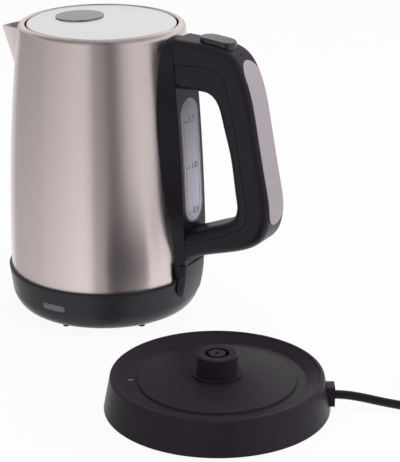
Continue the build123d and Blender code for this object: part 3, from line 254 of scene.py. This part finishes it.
plasticLooks = {
    "handleBlack": {"color": (0.0150, 0.0112, 0.0188), "pebble": 2600.0, "rough": 0.40, "cloud": 0.15,
                    "bump": 0.12, "shine": 0.30,
                    "nodes": ["handle_cover", "handle_grip", "handle_mount"]},
    "switchBlack": {"color": (0.0195, 0.0148, 0.0270), "pebble": 2600.0, "rough": 0.36, "cloud": 0.15,
                    "bump": 0.10, "shine": 0.40, "nodes": ["switch_lever"]},
    "buttonBlack": {"color": (0.014, 0.0115, 0.017), "pebble": 2600.0, "rough": 0.20, "cloud": 0.12,
                    "bump": 0.05, "shine": 0.75, "nodes": ["lid_button"]},
    "footBlack": {"color": (0.0215, 0.0200, 0.0290), "pebble": 2600.0, "rough": 0.30, "cloud": 0.15,
                  "bump": 0.10, "shine": 0.34, "nodes": ["bottom_housing", "bottom_cover"]},
    "baseBlack": {"color": (0.0265, 0.0205, 0.0285), "pebble": 2300.0, "rough": 0.38, "cloud": 0.18,
                  "bump": 0.14, "shine": 0.14,
                  "nodes": ["base_top", "base_plate", "connector_tower", "cord_gland"]},
    "innerGrey": {"color": (0.07, 0.07, 0.075), "pebble": 2000.0, "rough": 0.5, "cloud": 0.15,
                  "bump": 0.1, "nodes": ["lid_collar", "lid_inner", "lid_latch", "filter_frame",
                                         "kettle_socket", "thermostat_control"]},
    "trimSilver": {"color": (0.47, 0.405, 0.45), "pebble": 4000.0, "rough": 0.52, "cloud": 0.08,
                   "bump": 0.06, "metal": 0.15, "nodes": ["handle_insert"]},
    "discSilver": {"color": (0.215, 0.208, 0.22), "pebble": 4000.0, "rough": 0.22, "cloud": 0.06,
                   "bump": 0.02, "metal": 1.0, "nodes": ["lid_disc"]},
    "lensClear": {"color": (0.27, 0.26, 0.305), "pebble": 900.0, "rough": 0.28, "cloud": 0.10,
                  "bump": 0.05, "through": 0.35, "nodes": ["indicator_lens"]},
    "lampAmber": {"color": (0.80, 0.40, 0.16), "pebble": 500.0, "rough": 0.2, "cloud": 0.05,
                  "bump": 0.02, "nodes": ["indicator_lamp"]},
    "sealRubber": {"color": (0.025, 0.025, 0.026), "pebble": 1500.0, "rough": 0.7, "cloud": 0.2,
                   "bump": 0.2, "nodes": ["gauge_seal", "kettle_feet", "base_feet"]},
    "leadRed": {"color": (0.45, 0.09, 0.05), "pebble": 800.0, "rough": 0.5, "cloud": 0.1,
                "bump": 0.05, "nodes": ["lamp_leads", "base_leads"]},
    "plugBlack": {"color": (0.022, 0.021, 0.024), "pebble": 1900.0, "rough": 0.48, "cloud": 0.18,
                  "bump": 0.2, "nodes": ["plug_body"]},
    "tieWeave": {"color": (0.030, 0.030, 0.033), "pebble": 1400.0, "rough": 0.8, "cloud": 0.3,
                 "bump": 0.6, "nodes": ["cord_tie"]},
}
finishes = {}
for makeFinish, looks in ((steelFinish, steelLooks), (plasticFinish, plasticLooks)):
    for finishName, look in looks.items():
        finishes[finishName] = makeFinish(finishName, look)
        dress(look["nodes"], finishes[finishName])
print("stage: finishes on the solids")


# piece helpers
boxFaces = [(0, 1, 3, 2), (4, 6, 7, 5), (0, 4, 5, 1), (2, 3, 7, 6), (0, 2, 6, 4), (1, 5, 7, 3)]


def gridFaces(rows, cols, wrapRows=False, wrapCols=False):
    # four corners of every cell of a grid of points, joined end to end where it wraps
    i = np.arange(rows if wrapRows else rows - 1)[:, None]
    j = np.arange(cols if wrapCols else cols - 1)[None, :]
    iNext, jNext = (i + 1) % rows, (j + 1) % cols
    cells = [i * cols + j, iNext * cols + j, iNext * cols + jNext, i * cols + jNext]
    return np.stack(cells, axis=-1).reshape(-1, 4)


def fullTurn(steps):
    return np.linspace(0.0, 2 * math.pi, steps, endpoint=False)


def addPiece(name, spots, faces, mat, body, smooth=True):
    mesh = bpy.data.meshes.new(name)
    mesh.from_pydata(np.asarray(spots, float).reshape(-1, 3).tolist(), [],
                     faces if isinstance(faces, list) else faces.tolist())
    mesh.polygons.foreach_set("use_smooth", np.full(len(mesh.polygons), smooth))
    mesh.materials.append(mat)
    mesh.update()
    piece = addObject(name, mesh)
    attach(piece, body)
    return piece


def softenEdges(piece, width, segments, sharperThan):
    bevel = piece.modifiers.new("softEdge", "BEVEL")
    bevel.width = width
    bevel.segments = segments
    bevel.limit_method = "ANGLE"
    bevel.angle_limit = math.radians(sharperThan)


def onKettle(x, y, z):
    # points given from the kettle's axis, +x towards the handle
    axisX, axisY = stance["kettleAxis"]
    return np.stack(np.broadcast_arrays(x + axisX, y + axisY, z), axis=-1)


# water gauge: window whose colour runs darker towards its top, raised beads along its edge, level bars
# and plain numbers
gaugeSetup = {
    "half": 0.013, "low": 0.083, "high": 0.180,
    "faceRadius": 1.569, "faceCentre": -1.487, "bulgeHeight": 0.042,
    "beads": {"gaugeEdgeBead": (0.0010, 0.00050), "gaugeInnerBead": (0.0040, 0.00022)},
    "arcSteps": 24, "runSteps": 14, "beadSides": 10,
    "marks": [("1.7", 0.1630), ("1.0", 0.1270), ("0.5", 0.0915)],
    "numberHigh": 0.0068, "numberAside": -0.0012, "weld": 1e-6,
    "bar": (-0.0078, -0.0032), "barThick": 0.0005, "proud": 0.00012,
    # window colour by height: the lighter low tone at the bottom of the span, the darker high tone at
    # its top
    "windowLowTone": (0.85, 0.77, 0.94), "windowHighTone": (0.36, 0.325, 0.39), "windowToneSpan": (0.100, 0.176),
    "cloudScale": 160.0, "rough": (0.16, 0.26), "through": 0.08, "ior": 1.48,
    "beadLook": {"color": (0.42, 0.40, 0.46), "pebble": 1800.0, "rough": 0.25, "cloud": 0.1,
                 "bump": 0.02},
    "inkLook": {"color": (0.085, 0.078, 0.10), "pebble": 3000.0, "rough": 0.5, "cloud": 0.2,
                "bump": 0.05},
}


def gaugeFace(z):
    # the face leans in along one long arc, farthest out at the bulge height
    s = gaugeSetup
    return s["faceCentre"] + np.sqrt(s["faceRadius"] ** 2 - (z - s["bulgeHeight"]) ** 2)


def heightToneWindow(setup):
    # clear moulding that looks darker towards its top
    mat, tree, bsdf, _ = newMaterial("gaugeClear")
    place = addNode(tree, "TexCoord").outputs["Object"]
    parts = addNode(tree, "SeparateXYZ", {"Vector": place})
    height = addRange(tree, parts.outputs["Z"], setup["windowToneSpan"])
    cloud = addNode(tree, "TexNoise", {"Vector": place, "Scale": setup["cloudScale"], "Detail": 2.0})
    mix = addNode(tree, "Mix", {"Factor": height, "A": (*setup["windowLowTone"], 1),
                                "B": (*setup["windowHighTone"], 1)}, data_type="RGBA")
    rough = addRange(tree, cloud.outputs["Fac"], (0.0, 1.0), setup["rough"])
    feed(tree, bsdf, {"Base Color": mix.outputs["Result"], "Roughness": rough,
                      "Transmission Weight": setup["through"], "IOR": setup["ior"]})
    return mat


def pillLine(half, low, high, setup):
    # two half circles joined by straight runs, with the outward direction at each point
    arc = np.linspace(0.0, math.pi, setup["arcSteps"])
    run = np.linspace(high - half, low + half, setup["runSteps"] + 2)[1:-1]
    flat = np.zeros_like(run)
    outY = np.concatenate([np.cos(arc), flat - 1.0, np.cos(arc + math.pi), flat + 1.0])
    outZ = np.concatenate([np.sin(arc), flat, np.sin(arc + math.pi), flat])
    y = half * outY
    z = np.concatenate([high - half + half * np.sin(arc), run,
                        low + half + half * np.sin(arc + math.pi), run[::-1]])
    return y, z, outY, outZ


def makeBead(name, inset, radius, setup, mat):
    # a small circle, spanned by the outward direction in the face and the one off it, carried
    # round the pill
    line = pillLine(setup["half"] - inset, setup["low"] + inset, setup["high"] - inset, setup)
    y, z, outY, outZ = (values[:, None] for values in line)
    turn = fullTurn(setup["beadSides"])[None, :]
    outward, off = radius * np.cos(turn), radius * np.sin(turn)
    spots = onKettle(gaugeFace(z) + off, y + outward * outY, z + outward * outZ)
    faces = gridFaces(len(y), setup["beadSides"], True, True)
    addPiece(name, spots, faces, mat, "kettle")


def makeNumber(name, text, height, setup, mat):
    # flat raised figures: each point goes to the leaning face at its own height, and off it by
    # its place in the ink's thickness
    font = bpy.data.curves.new("levelNumber", "FONT")
    font.body = text
    font.size = setup["numberHigh"]
    font.align_y = "CENTER"
    font.extrude = setup["proud"] / 2
    flat = addObject("levelNumber", font)
    bpy.context.view_layer.update()
    mesh = bpy.data.meshes.new_from_object(flat)
    bpy.data.objects.remove(flat)
    welded = bmesh.new()
    welded.from_mesh(mesh)
    bmesh.ops.remove_doubles(welded, verts=welded.verts, dist=setup["weld"])
    welded.to_mesh(mesh)
    welded.free()
    co = np.empty(len(mesh.vertices) * 3)
    mesh.vertices.foreach_get("co", co)
    x, y, off = co.reshape(-1, 3).T
    z = height + y
    spots = onKettle(gaugeFace(z) + setup["proud"] / 2 + off, setup["numberAside"] + x, z)
    faces = [list(face.vertices) for face in mesh.polygons]
    addPiece(name, spots, faces, mat, "kettle")
    bpy.data.meshes.remove(mesh)


def makeBar(name, height, setup, mat):
    # a thin box on the face, half as deep in it as it stands proud
    ends, edges, tops = np.meshgrid(setup["bar"], (-0.5, 0.5), (-0.5, 1.0), indexing="ij")
    z = height + setup["barThick"] * edges
    spots = onKettle(gaugeFace(z) + setup["proud"] * tops, ends, z)
    addPiece(name, spots, boxFaces, mat, "kettle")


dress(["gauge_window"], heightToneWindow(gaugeSetup))
beadMat = plasticFinish("gaugeBead", gaugeSetup["beadLook"])
inkMat = plasticFinish("levelInk", gaugeSetup["inkLook"])
for beadName, (inset, radius) in gaugeSetup["beads"].items():
    makeBead(beadName, inset, radius, gaugeSetup, beadMat)
for text, height in gaugeSetup["marks"]:
    markName = "level" + text.replace(".", "")
    makeNumber(markName + "Number", text, height, gaugeSetup, inkMat)
    makeBar(markName + "Bar", height, gaugeSetup, inkMat)
print("stage: gauge marked")


# foot of the kettle: a thin ring whose lip rises a little beside the handle, and a plate under it
footSetup = {
    "lip": 0.0359, "lipByHandle": 0.0384, "riseAngles": (12.6, 14.6),
    "knee": (0.0746, 0.0175), "lipReach": (0.0774, 0.0384), "toe": (0.0655, 0.0039), "toePower": 1.3,
    "inside": 0.0625, "wall": 0.0021, "around": 360, "lipRows": 4, "slotRows": 4, "toeRows": 24,
    "slotColumns": 4, "slotHeights": (0.0196, 0.0294),
    "plate": [(0.0182, 0.0021), (0.0602, 0.0021), (0.0614, 0.0026), (0.0622, 0.0042),
              (0.0622, 0.0046), (0.0182, 0.0046)],
    "plateAround": 180, "plateEdge": 0.0003, "plateEdgeSteps": 2, "plateSharp": 40.0,
}


def turnedPoints(r, z, turn):
    # every point of a profile carried round the kettle's axis
    return onKettle(r * np.cos(turn), r * np.sin(turn), z + 0.0 * turn)


def makeFootRing(setup, mat):
    # a leaning wall from the lip to the knee, a flattened quarter round from the knee to the toe,
    # then level inwards; the lip's height follows a smooth step in the angle from the handle, and
    # the switch arm's slot is left open
    around, lipRows, slotRows = setup["around"], setup["lipRows"], setup["slotRows"]
    angle = np.linspace(0.0, 360.0, around, endpoint=False)
    away = np.minimum(angle, 360.0 - angle)
    near, far = setup["riseAngles"]
    t = np.clip((away - near) / (far - near), 0.0, 1.0)
    lip = setup["lipByHandle"] + (setup["lip"] - setup["lipByHandle"]) * t * t * (3 - 2 * t)
    (kneeR, kneeZ), (toeR, toeZ), (reachR, reachZ) = setup["knee"], setup["toe"], setup["lipReach"]
    slotLow, slotHigh = setup["slotHeights"]
    beside = np.linspace(slotHigh, slotLow, slotRows + 1)[1:, None]
    wallZ = np.concatenate([np.linspace(1.0, 0.0, lipRows + 1)[:, None] * (lip - slotHigh) + slotHigh,
                            np.repeat(beside, around, axis=1), np.full((1, around), kneeZ)])
    wallR = kneeR + (wallZ - kneeZ) * (reachR - kneeR) / (reachZ - kneeZ)
    sweep = np.linspace(0.0, math.pi / 2, setup["toeRows"] + 1)[1:, None] + 0.0 * angle
    toeIn = np.cos(sweep).clip(0) ** setup["toePower"]
    toeDown = np.sin(sweep) ** setup["toePower"]
    r = np.concatenate([wallR, toeR + (kneeR - toeR) * toeIn, np.full((1, around), setup["inside"])])
    z = np.concatenate([wallZ, kneeZ - (kneeZ - toeZ) * toeDown, np.full((1, around), toeZ)])
    faces = gridFaces(len(r), around, wrapCols=True)
    row, col = np.divmod(faces[:, 0], around)
    slotRow = (row >= lipRows) & (row < lipRows + slotRows)
    slotCol = (col < setup["slotColumns"]) | (col >= around - setup["slotColumns"])
    ring = addPiece("footRing", turnedPoints(r, z, np.radians(angle)), faces[~(slotRow & slotCol)],
                    mat, "kettle")
    wall = ring.modifiers.new("ringWall", "SOLIDIFY")
    wall.thickness = setup["wall"]
    wall.offset = -1.0
    wall.use_even_offset = True
    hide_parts("bottom_housing")


def makeFootPlate(setup, mat):
    # a closed flat profile turned round the axis
    r, z = np.array(setup["plate"]).T[:, :, None]
    faces = gridFaces(len(r), setup["plateAround"], True, True)[:, ::-1]
    plate = addPiece("footPlate", turnedPoints(r, z, fullTurn(setup["plateAround"])), faces,
                     mat, "kettle")
    softenEdges(plate, setup["plateEdge"], setup["plateEdgeSteps"], setup["plateSharp"])
    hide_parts("bottom_cover")


makeFootRing(footSetup, finishes["footBlack"])
makeFootPlate(footSetup, finishes["footBlack"])
print("stage: foot shaped")


# power switch: a crowned tongue that hugs the foot ring, on an arm that reaches in to its pin
tongueSetup = {
    "halves": (0.0164, 0.0172), "top": 0.0502, "foot": 0.0188, "footRise": 0.0090, "footPower": 2.2,
    "front": [(0.0502, 0.0829), (0.038, 0.0820), (0.0188, 0.0779)],
    "crown": 0.0012, "flatShare": 0.80, "leanPower": 1.15, "thin": 0.0010,
    "ringHeights": (0.0175, 0.0384), "ringRadii": (0.0746, 0.0774), "clear": 0.0009,
    "aboveRing": 0.0006, "plateFront": 0.0777,
    "across": 61, "along": 41, "edge": 0.0004, "edgeSteps": 3, "sharp": 65.0,
    "arm": {"half": 0.004, "high": 0.0044, "inner": 0.0482, "outer": 0.0770,
            "pinX": 0.046, "pinZ": 0.0265, "eye": (0.0016, 0.0022), "eyeSteps": 32},
}


def tongueSheets(setup):
    # height runs from a rounded foot to a level top; the face is a parabola up the middle, and
    # past its flat share both sides lean back to a thin edge; the back keeps one clearance from
    # the ring and is flat above it
    u = np.linspace(-1.0, 1.0, setup["across"])[None, :]
    v = np.linspace(0.0, 1.0, setup["along"])[:, None]
    foot = setup["foot"] + setup["footRise"] * np.abs(u) ** setup["footPower"]
    z = foot + v * (setup["top"] - foot)
    y = np.interp(z, (setup["foot"], setup["top"]), setup["halves"]) * u
    heights, reaches = np.array(setup["front"]).T
    face = np.polyval(np.polyfit(heights, reaches, 2), z)
    ring = np.interp(z, setup["ringHeights"], setup["ringRadii"]) + setup["clear"]
    byRing = z < setup["ringHeights"][1] + setup["aboveRing"]
    back = np.where(byRing, np.sqrt(ring ** 2 - y ** 2), setup["plateFront"])
    lean = np.clip((np.abs(u) - setup["flatShare"]) / (1.0 - setup["flatShare"]), 0.0, 1.0)
    depth = face - setup["crown"] - back - setup["thin"]
    front = face - setup["crown"] * u ** 2 - depth * lean ** setup["leanPower"]
    return y, z, front, np.minimum(back, front - setup["thin"])


def makeTongue(setup, mat):
    # front sheet, back sheet and a wall round their edge; the arm is a box, and the eye round the pin
    # a rectangle turned about the pin's axis
    y, z, front, back = tongueSheets(setup)
    rows, cols = z.shape
    sheet = gridFaces(rows, cols)
    index = np.arange(rows * cols).reshape(rows, cols)
    rim = np.concatenate([index[0, :-1], index[:-1, -1], index[-1, :0:-1], index[:0:-1, 0]])
    rimNext = np.roll(rim, -1)
    far = rows * cols
    walls = np.stack([rim, rim + far, rimNext + far, rimNext], axis=-1)
    arm = setup["arm"]
    ends, sides, edges = np.meshgrid((arm["inner"], arm["outer"]), (-arm["half"], arm["half"]),
                                     (-0.5, 0.5), indexing="ij")
    turn = fullTurn(arm["eyeSteps"])[:, None]
    bore, outside = arm["eye"]
    reach = np.array([bore, outside, outside, bore])[None, :]
    side = arm["half"] * np.array([-1.0, -1.0, 1.0, 1.0])[None, :]
    eyeX, eyeZ = arm["pinX"] + reach * np.cos(turn), arm["pinZ"] + reach * np.sin(turn)
    spots = [onKettle(front, y, z), onKettle(back, y, z),
             onKettle(ends, sides, arm["pinZ"] + arm["high"] * edges), onKettle(eyeX, side, eyeZ)]
    boxStart = 2 * far
    eyeStart = boxStart + ends.size
    eyeFaces = gridFaces(arm["eyeSteps"], len(reach[0]), True, True)[:, ::-1]
    faces = [sheet[:, ::-1], sheet + far, walls, boxStart + np.array(boxFaces), eyeStart + eyeFaces]
    tongue = addPiece("switchTongue", np.concatenate([part.reshape(-1, 3) for part in spots]),
                      np.concatenate(faces), mat, "switch")
    softenEdges(tongue, setup["edge"], setup["edgeSteps"], setup["sharp"])
    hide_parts("switch_lever")


makeTongue(tongueSetup, finishes["switchBlack"])
print("stage: switch shaped")


# springs: a wire helix wound in each spring's box
springSetup = {
    "buttonSpring": {"node": "button_spring", "body": "kettle", "joint": "lid_button", "axis": 2,
                     "fixedHigh": False, "turns": 4, "wire": 0.0004, "travel": 0.0030,
                     "stepsPerTurn": 28, "sides": 10},
    "latchSpring": {"node": "latch_spring", "body": "lid", "joint": "lid_latch", "axis": 0,
                    "fixedHigh": True, "turns": 6, "wire": 0.00025, "travel": 0.0026,
                    "stepsPerTurn": 28, "sides": 10},
}


def makeSpring(name, look, mat):
    # a small circle of the wire's radius carried along a helix, closed by a cap at each end
    low, high = (np.array(corner, float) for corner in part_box(look["node"]))
    axis = look["axis"]
    side, other = (axis + 1) % 3, (axis + 2) % 3
    mid, wire, span = (low + high) / 2, look["wire"], high[axis] - low[axis]
    rows, cols = look["turns"] * look["stepsPerTurn"] + 1, look["sides"]
    t = np.linspace(0.0, 1.0, rows)[:, None]
    turn = 2 * math.pi * look["turns"] * t
    circle = fullTurn(cols)[None, :]
    reach = (high[side] - low[side]) / 2 - wire + wire * np.cos(circle)
    spots = np.empty((rows, cols, 3))
    spots[..., side] = mid[side] + reach * np.cos(turn)
    spots[..., other] = mid[other] + reach * np.sin(turn)
    spots[..., axis] = low[axis] + wire + t * (span - 2 * wire) + wire * np.sin(circle)
    caps = [list(range(cols)), list(range(rows * cols - 1, (rows - 1) * cols - 1, -1))]
    faces = gridFaces(rows, cols, wrapCols=True).tolist() + caps
    spring = addPiece(name, spots, faces, mat, look["body"])
    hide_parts(look["node"])
    anchor = mid.copy()
    anchor[axis] = high[axis] if look["fixedHigh"] else low[axis]
    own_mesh(spring)


for springName, look in springSetup.items():
    makeSpring(springName, look, finishes["wireSteel"])
print("stage: springs wound")


# drain hole in the base: a pale sleeve pressed into it, a little below the surface
drainSetup = {
    "ringRadius": 0.060, "heading": 210.0, "outside": 0.00242, "inside": 0.00220,
    "low": 0.0191, "high": 0.0205, "around": 32,
    "look": {"color": (0.90, 0.87, 0.92), "pebble": 2500.0, "rough": 0.4, "cloud": 0.05, "bump": 0.02},
}


def makeDrainSleeve(setup, mat):
    # a rectangle in radius and height carried round the hole's own axis
    turn = fullTurn(setup["around"])[None, :]
    inside, outside, low, high = (setup[key] for key in ("inside", "outside", "low", "high"))
    r = np.array([inside, outside, outside, inside])[:, None]
    z = np.array([low, low, high, high])[:, None]
    heading = math.radians(setup["heading"])
    midX = stance["baseAxis"][0] + setup["ringRadius"] * math.cos(heading)
    midY = stance["baseAxis"][1] + setup["ringRadius"] * math.sin(heading)
    spots = np.stack([midX + r * np.cos(turn), midY + r * np.sin(turn), z + 0.0 * turn], axis=-1)
    faces = gridFaces(len(r), setup["around"], True, True)[:, ::-1]
    addPiece("drainSleeve", spots, faces, mat, "power_base", smooth=False)


makeDrainSleeve(drainSetup, plasticFinish("sleevePale", drainSetup["look"]))
print("stage: drain sleeved")


# mains cord: one spline, from the gland along the table into the tied coil and up to the plug;
# route, coil and tail are in millimetres, along the cord's heading, to its right, and up
cordSetup = {
    "radius": 0.0031, "length": 0.75,
    "route": [(62, 0, 10), (84, 0, 10), (98, 1.2, 8.8), (118, 4.6, 5.4), (140, 9.2, 3.5),
              (160, 11.7, 3.9)],
    "coilCentre": (178.0, -23.5), "coilRadius": 35.2, "stepIn": 6.8, "stepOut": 10.2,
    "lift": 6.7, "floor": 3.9,
    "turnsIn": 1.4, "turnsClimb": 0.5, "turnsOut": 1.35, "pointsPerTurn": 20,
    "tail": [(214.7, -40, 10.8), (215.5, -52, 14.5), (215.3, -60, 17.2), (215.26, -65.5, 17.6)],
    "order": 3, "stepsAlong": 8, "roundness": 6,
    "look": {"color": (0.010, 0.0095, 0.0125), "pebble": 1600.0, "rough": 0.42, "cloud": 0.15,
             "bump": 0.1, "shine": 0.32},
}


def cordPoints(setup):
    # radius falls by one step a turn, the last half turn of that run climbs a layer, then the
    # radius grows again; each control point stands out by the share that the smooth line cuts off
    heading = math.radians(stance["cordHeading"])
    turnsAll = setup["turnsIn"] + setup["turnsClimb"] + setup["turnsOut"]
    count = int(round(turnsAll * setup["pointsPerTurn"]))
    t = np.linspace(0.0, turnsAll, count + 1)
    low, high = setup["turnsIn"], setup["turnsIn"] + setup["turnsClimb"]
    share = np.clip((t - low) / setup["turnsClimb"], 0.0, 1.0)
    z = setup["floor"] + setup["lift"] * share ** 2 * (3 - 2 * share)
    r = (setup["coilRadius"] - setup["stepIn"] * np.minimum(t, high)
         + setup["stepOut"] * np.maximum(t - high, 0.0))
    r = r / (0.75 + 0.25 * math.cos(2 * math.pi / setup["pointsPerTurn"]))
    angle = math.pi / 2 - 2 * math.pi * t
    midX, midY = setup["coilCentre"]
    coil = np.stack([midX + r * np.cos(angle), midY + r * np.sin(angle), z], axis=1)
    flat = np.concatenate([np.array(setup["route"], float), coil, np.array(setup["tail"], float)])
    along = np.array([math.cos(heading), math.sin(heading)])
    aside = np.array([math.sin(heading), -math.cos(heading)])
    xy = flat[:, :1] * along + flat[:, 1:2] * aside
    spots = np.concatenate([xy, flat[:, 2:]], axis=1) / 1000.0
    spots[:, :2] += stance["baseAxis"]
    return spots


def makeCord(setup):
    # a circle carried along one smooth line, closed at both ends
    data = bpy.data.curves.new("mainsCord", "CURVE")
    data.dimensions = "3D"
    data.bevel_depth = setup["radius"]
    data.bevel_resolution = setup["roundness"]
    data.use_fill_caps = True
    data.resolution_u = setup["stepsAlong"]
    spline = data.splines.new("NURBS")
    spots = cordPoints(setup)
    spline.points.add(len(spots) - 1)
    spline.points.foreach_set("co", np.concatenate([spots, np.ones((len(spots), 1))], axis=1).ravel())
    spline.order_u = setup["order"]
    spline.use_endpoint_u = True
    cord = addObject("mainsCord", data)
    data.materials.append(plasticFinish("cordRubber", setup["look"]))
    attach(cord, "power_base")
    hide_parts("cord_lead", "cord_coil")


makeCord(cordSetup)
print("stage: cord laid")


# studio: pale floor, and a room of light with a dim gap where the camera stands;
# bands are brightness by bearing, heights by how far up or down a ray goes
roomSetup = {
    "floorSize": 6.0, "floorTone": 0.93, "floorRough": 0.9, "whiteShare": 0.93,
    "facing": -60.0, "ambient": 1.19,
    "bands": [(0.0, 1.0), (0.083, 0.84), (0.125, 0.47), (0.16, 0.51), (0.25, 0.56), (0.325, 0.69),
              (0.39, 0.80), (0.42, 0.86), (0.447, 0.85), (0.462, 0.74), (0.474, 0.37), (0.490, 0.41),
              (0.510, 0.36), (0.532, 0.21), (0.546, 0.21), (0.561, 0.35), (0.589, 0.69), (0.62, 0.84),
              (0.66, 0.88), (0.75, 0.87), (0.86, 0.95), (1.0, 1.0)],
    "heightSpan": (-0.5, 1.0),
    "heights": [(0.0, 1.06), (0.11, 1.0), (0.16, 0.82), (0.22, 0.70), (0.267, 0.61), (0.307, 0.55),
                (0.36, 0.58), (0.44, 0.72), (0.52, 0.80), (0.587, 0.83), (0.68, 0.72), (0.80, 0.41),
                (0.90, 0.36), (1.0, 0.36)],
}


def seenDirectly(tree):
    # 1 for what the camera sees straight or through glass
    path = addNode(tree, "LightPath").outputs
    return addMath(tree, "MAXIMUM", path["Is Camera Ray"], path["Is Transmission Ray"])


def makeFloor(setup):
    half = setup["floorSize"] / 2
    mesh = bpy.data.meshes.new("studioFloor")
    mesh.from_pydata([(-half, -half, 0), (half, -half, 0), (half, half, 0), (-half, half, 0)], [],
                     [(0, 1, 2, 3)])
    floor = addObject("studioFloor", mesh)
    mat, tree, bsdf, out = newMaterial("floorPale")
    feed(tree, bsdf, {"Base Color": (setup["floorTone"],) * 3 + (1,), "Roughness": setup["floorRough"],
                      "Specular IOR Level": 0.0})
    glow = addNode(tree, "Emission", {"Color": (1, 1, 1, 1), "Strength": 1.0})
    share = addMath(tree, "MULTIPLY", seenDirectly(tree), setup["whiteShare"])
    mix = addNode(tree, "MixShader", {"Fac": share, 1: bsdf.outputs["BSDF"], 2: glow.outputs[0]})
    feed(tree, out, {"Surface": mix.outputs[0]})
    mesh.materials.append(mat)
    floor.visible_glossy = False


def fillRamp(tree, value, stopList, blend):
    ramp = addNode(tree, "ValToRGB", {"Fac": value})
    ramp.color_ramp.interpolation = blend
    stops = ramp.color_ramp.elements
    for i, (spot, tone) in enumerate(stopList):
        stop = stops[i] if i < 2 else stops.new(spot)
        stop.position = spot
        stop.color = (tone, tone, tone, 1)
    return ramp.outputs["Color"]


def makeRoom(setup):
    # brightness by bearing: white behind the set, two wide soft walls, a dim gap where the camera
    # stands; the pale table brightens the room from below, it is dimmer just under the level of
    # the eye, and dimmest straight up
    world = bpy.data.worlds.new("studioRoom")
    bpy.context.scene.world = world
    world.use_nodes = True
    tree = world.node_tree
    tree.nodes.clear()
    place = addNode(tree, "TexCoord")
    facing = math.radians(-setup["facing"])
    turn = addNode(tree, "VectorRotate", {"Vector": place.outputs["Generated"], "Angle": facing},
                   rotation_type="Z_AXIS")
    parts = addNode(tree, "SeparateXYZ", {"Vector": turn.outputs[0]}).outputs
    bearing = addRange(tree, addMath(tree, "ARCTAN2", parts["Y"], parts["X"]), (-math.pi, math.pi))
    height = addRange(tree, parts["Z"], setup["heightSpan"])
    walls = addNode(tree, "Mix", {"Factor": 1.0, "A": fillRamp(tree, bearing, setup["bands"], "EASE"),
                                  "B": fillRamp(tree, height, setup["heights"], "LINEAR")},
                    data_type="RGBA", blend_type="MULTIPLY")
    lit = addNode(tree, "Background", {"Color": walls.outputs["Result"], "Strength": setup["ambient"]})
    white = addNode(tree, "Background", {"Color": (1, 1, 1, 1), "Strength": 1.0})
    mix = addNode(tree, "MixShader", {"Fac": seenDirectly(tree), 1: lit.outputs[0],
                                      2: white.outputs[0]})
    addNode(tree, "OutputWorld", {"Surface": mix.outputs[0]})


lampSetup = {
    "overhead": {"place": (0.1, 0.3, 1.6), "aim": (0.0, 0.0, 0.1), "size": 1.4, "power": 10.0},
    "rightPanel": {"place": (1.5, 0.5, 0.9), "aim": (0.0, 0.0, 0.1), "size": 1.0, "power": 6.5},
}


def hangLamps(setup):
    for name, lamp in setup.items():
        data = bpy.data.lights.new(name, "AREA")
        data.shape = "SQUARE"
        data.size = lamp["size"]
        data.energy = lamp["power"]
        obj = addObject(name, data)
        obj.visible_glossy = False    # the room is what the steel mirrors
        obj.matrix_world = aimed(lamp["place"], Vector(lamp["aim"]) - Vector(lamp["place"]))


makeFloor(roomSetup)
makeRoom(roomSetup)
hangLamps(lampSetup)
print("stage: studio lit")
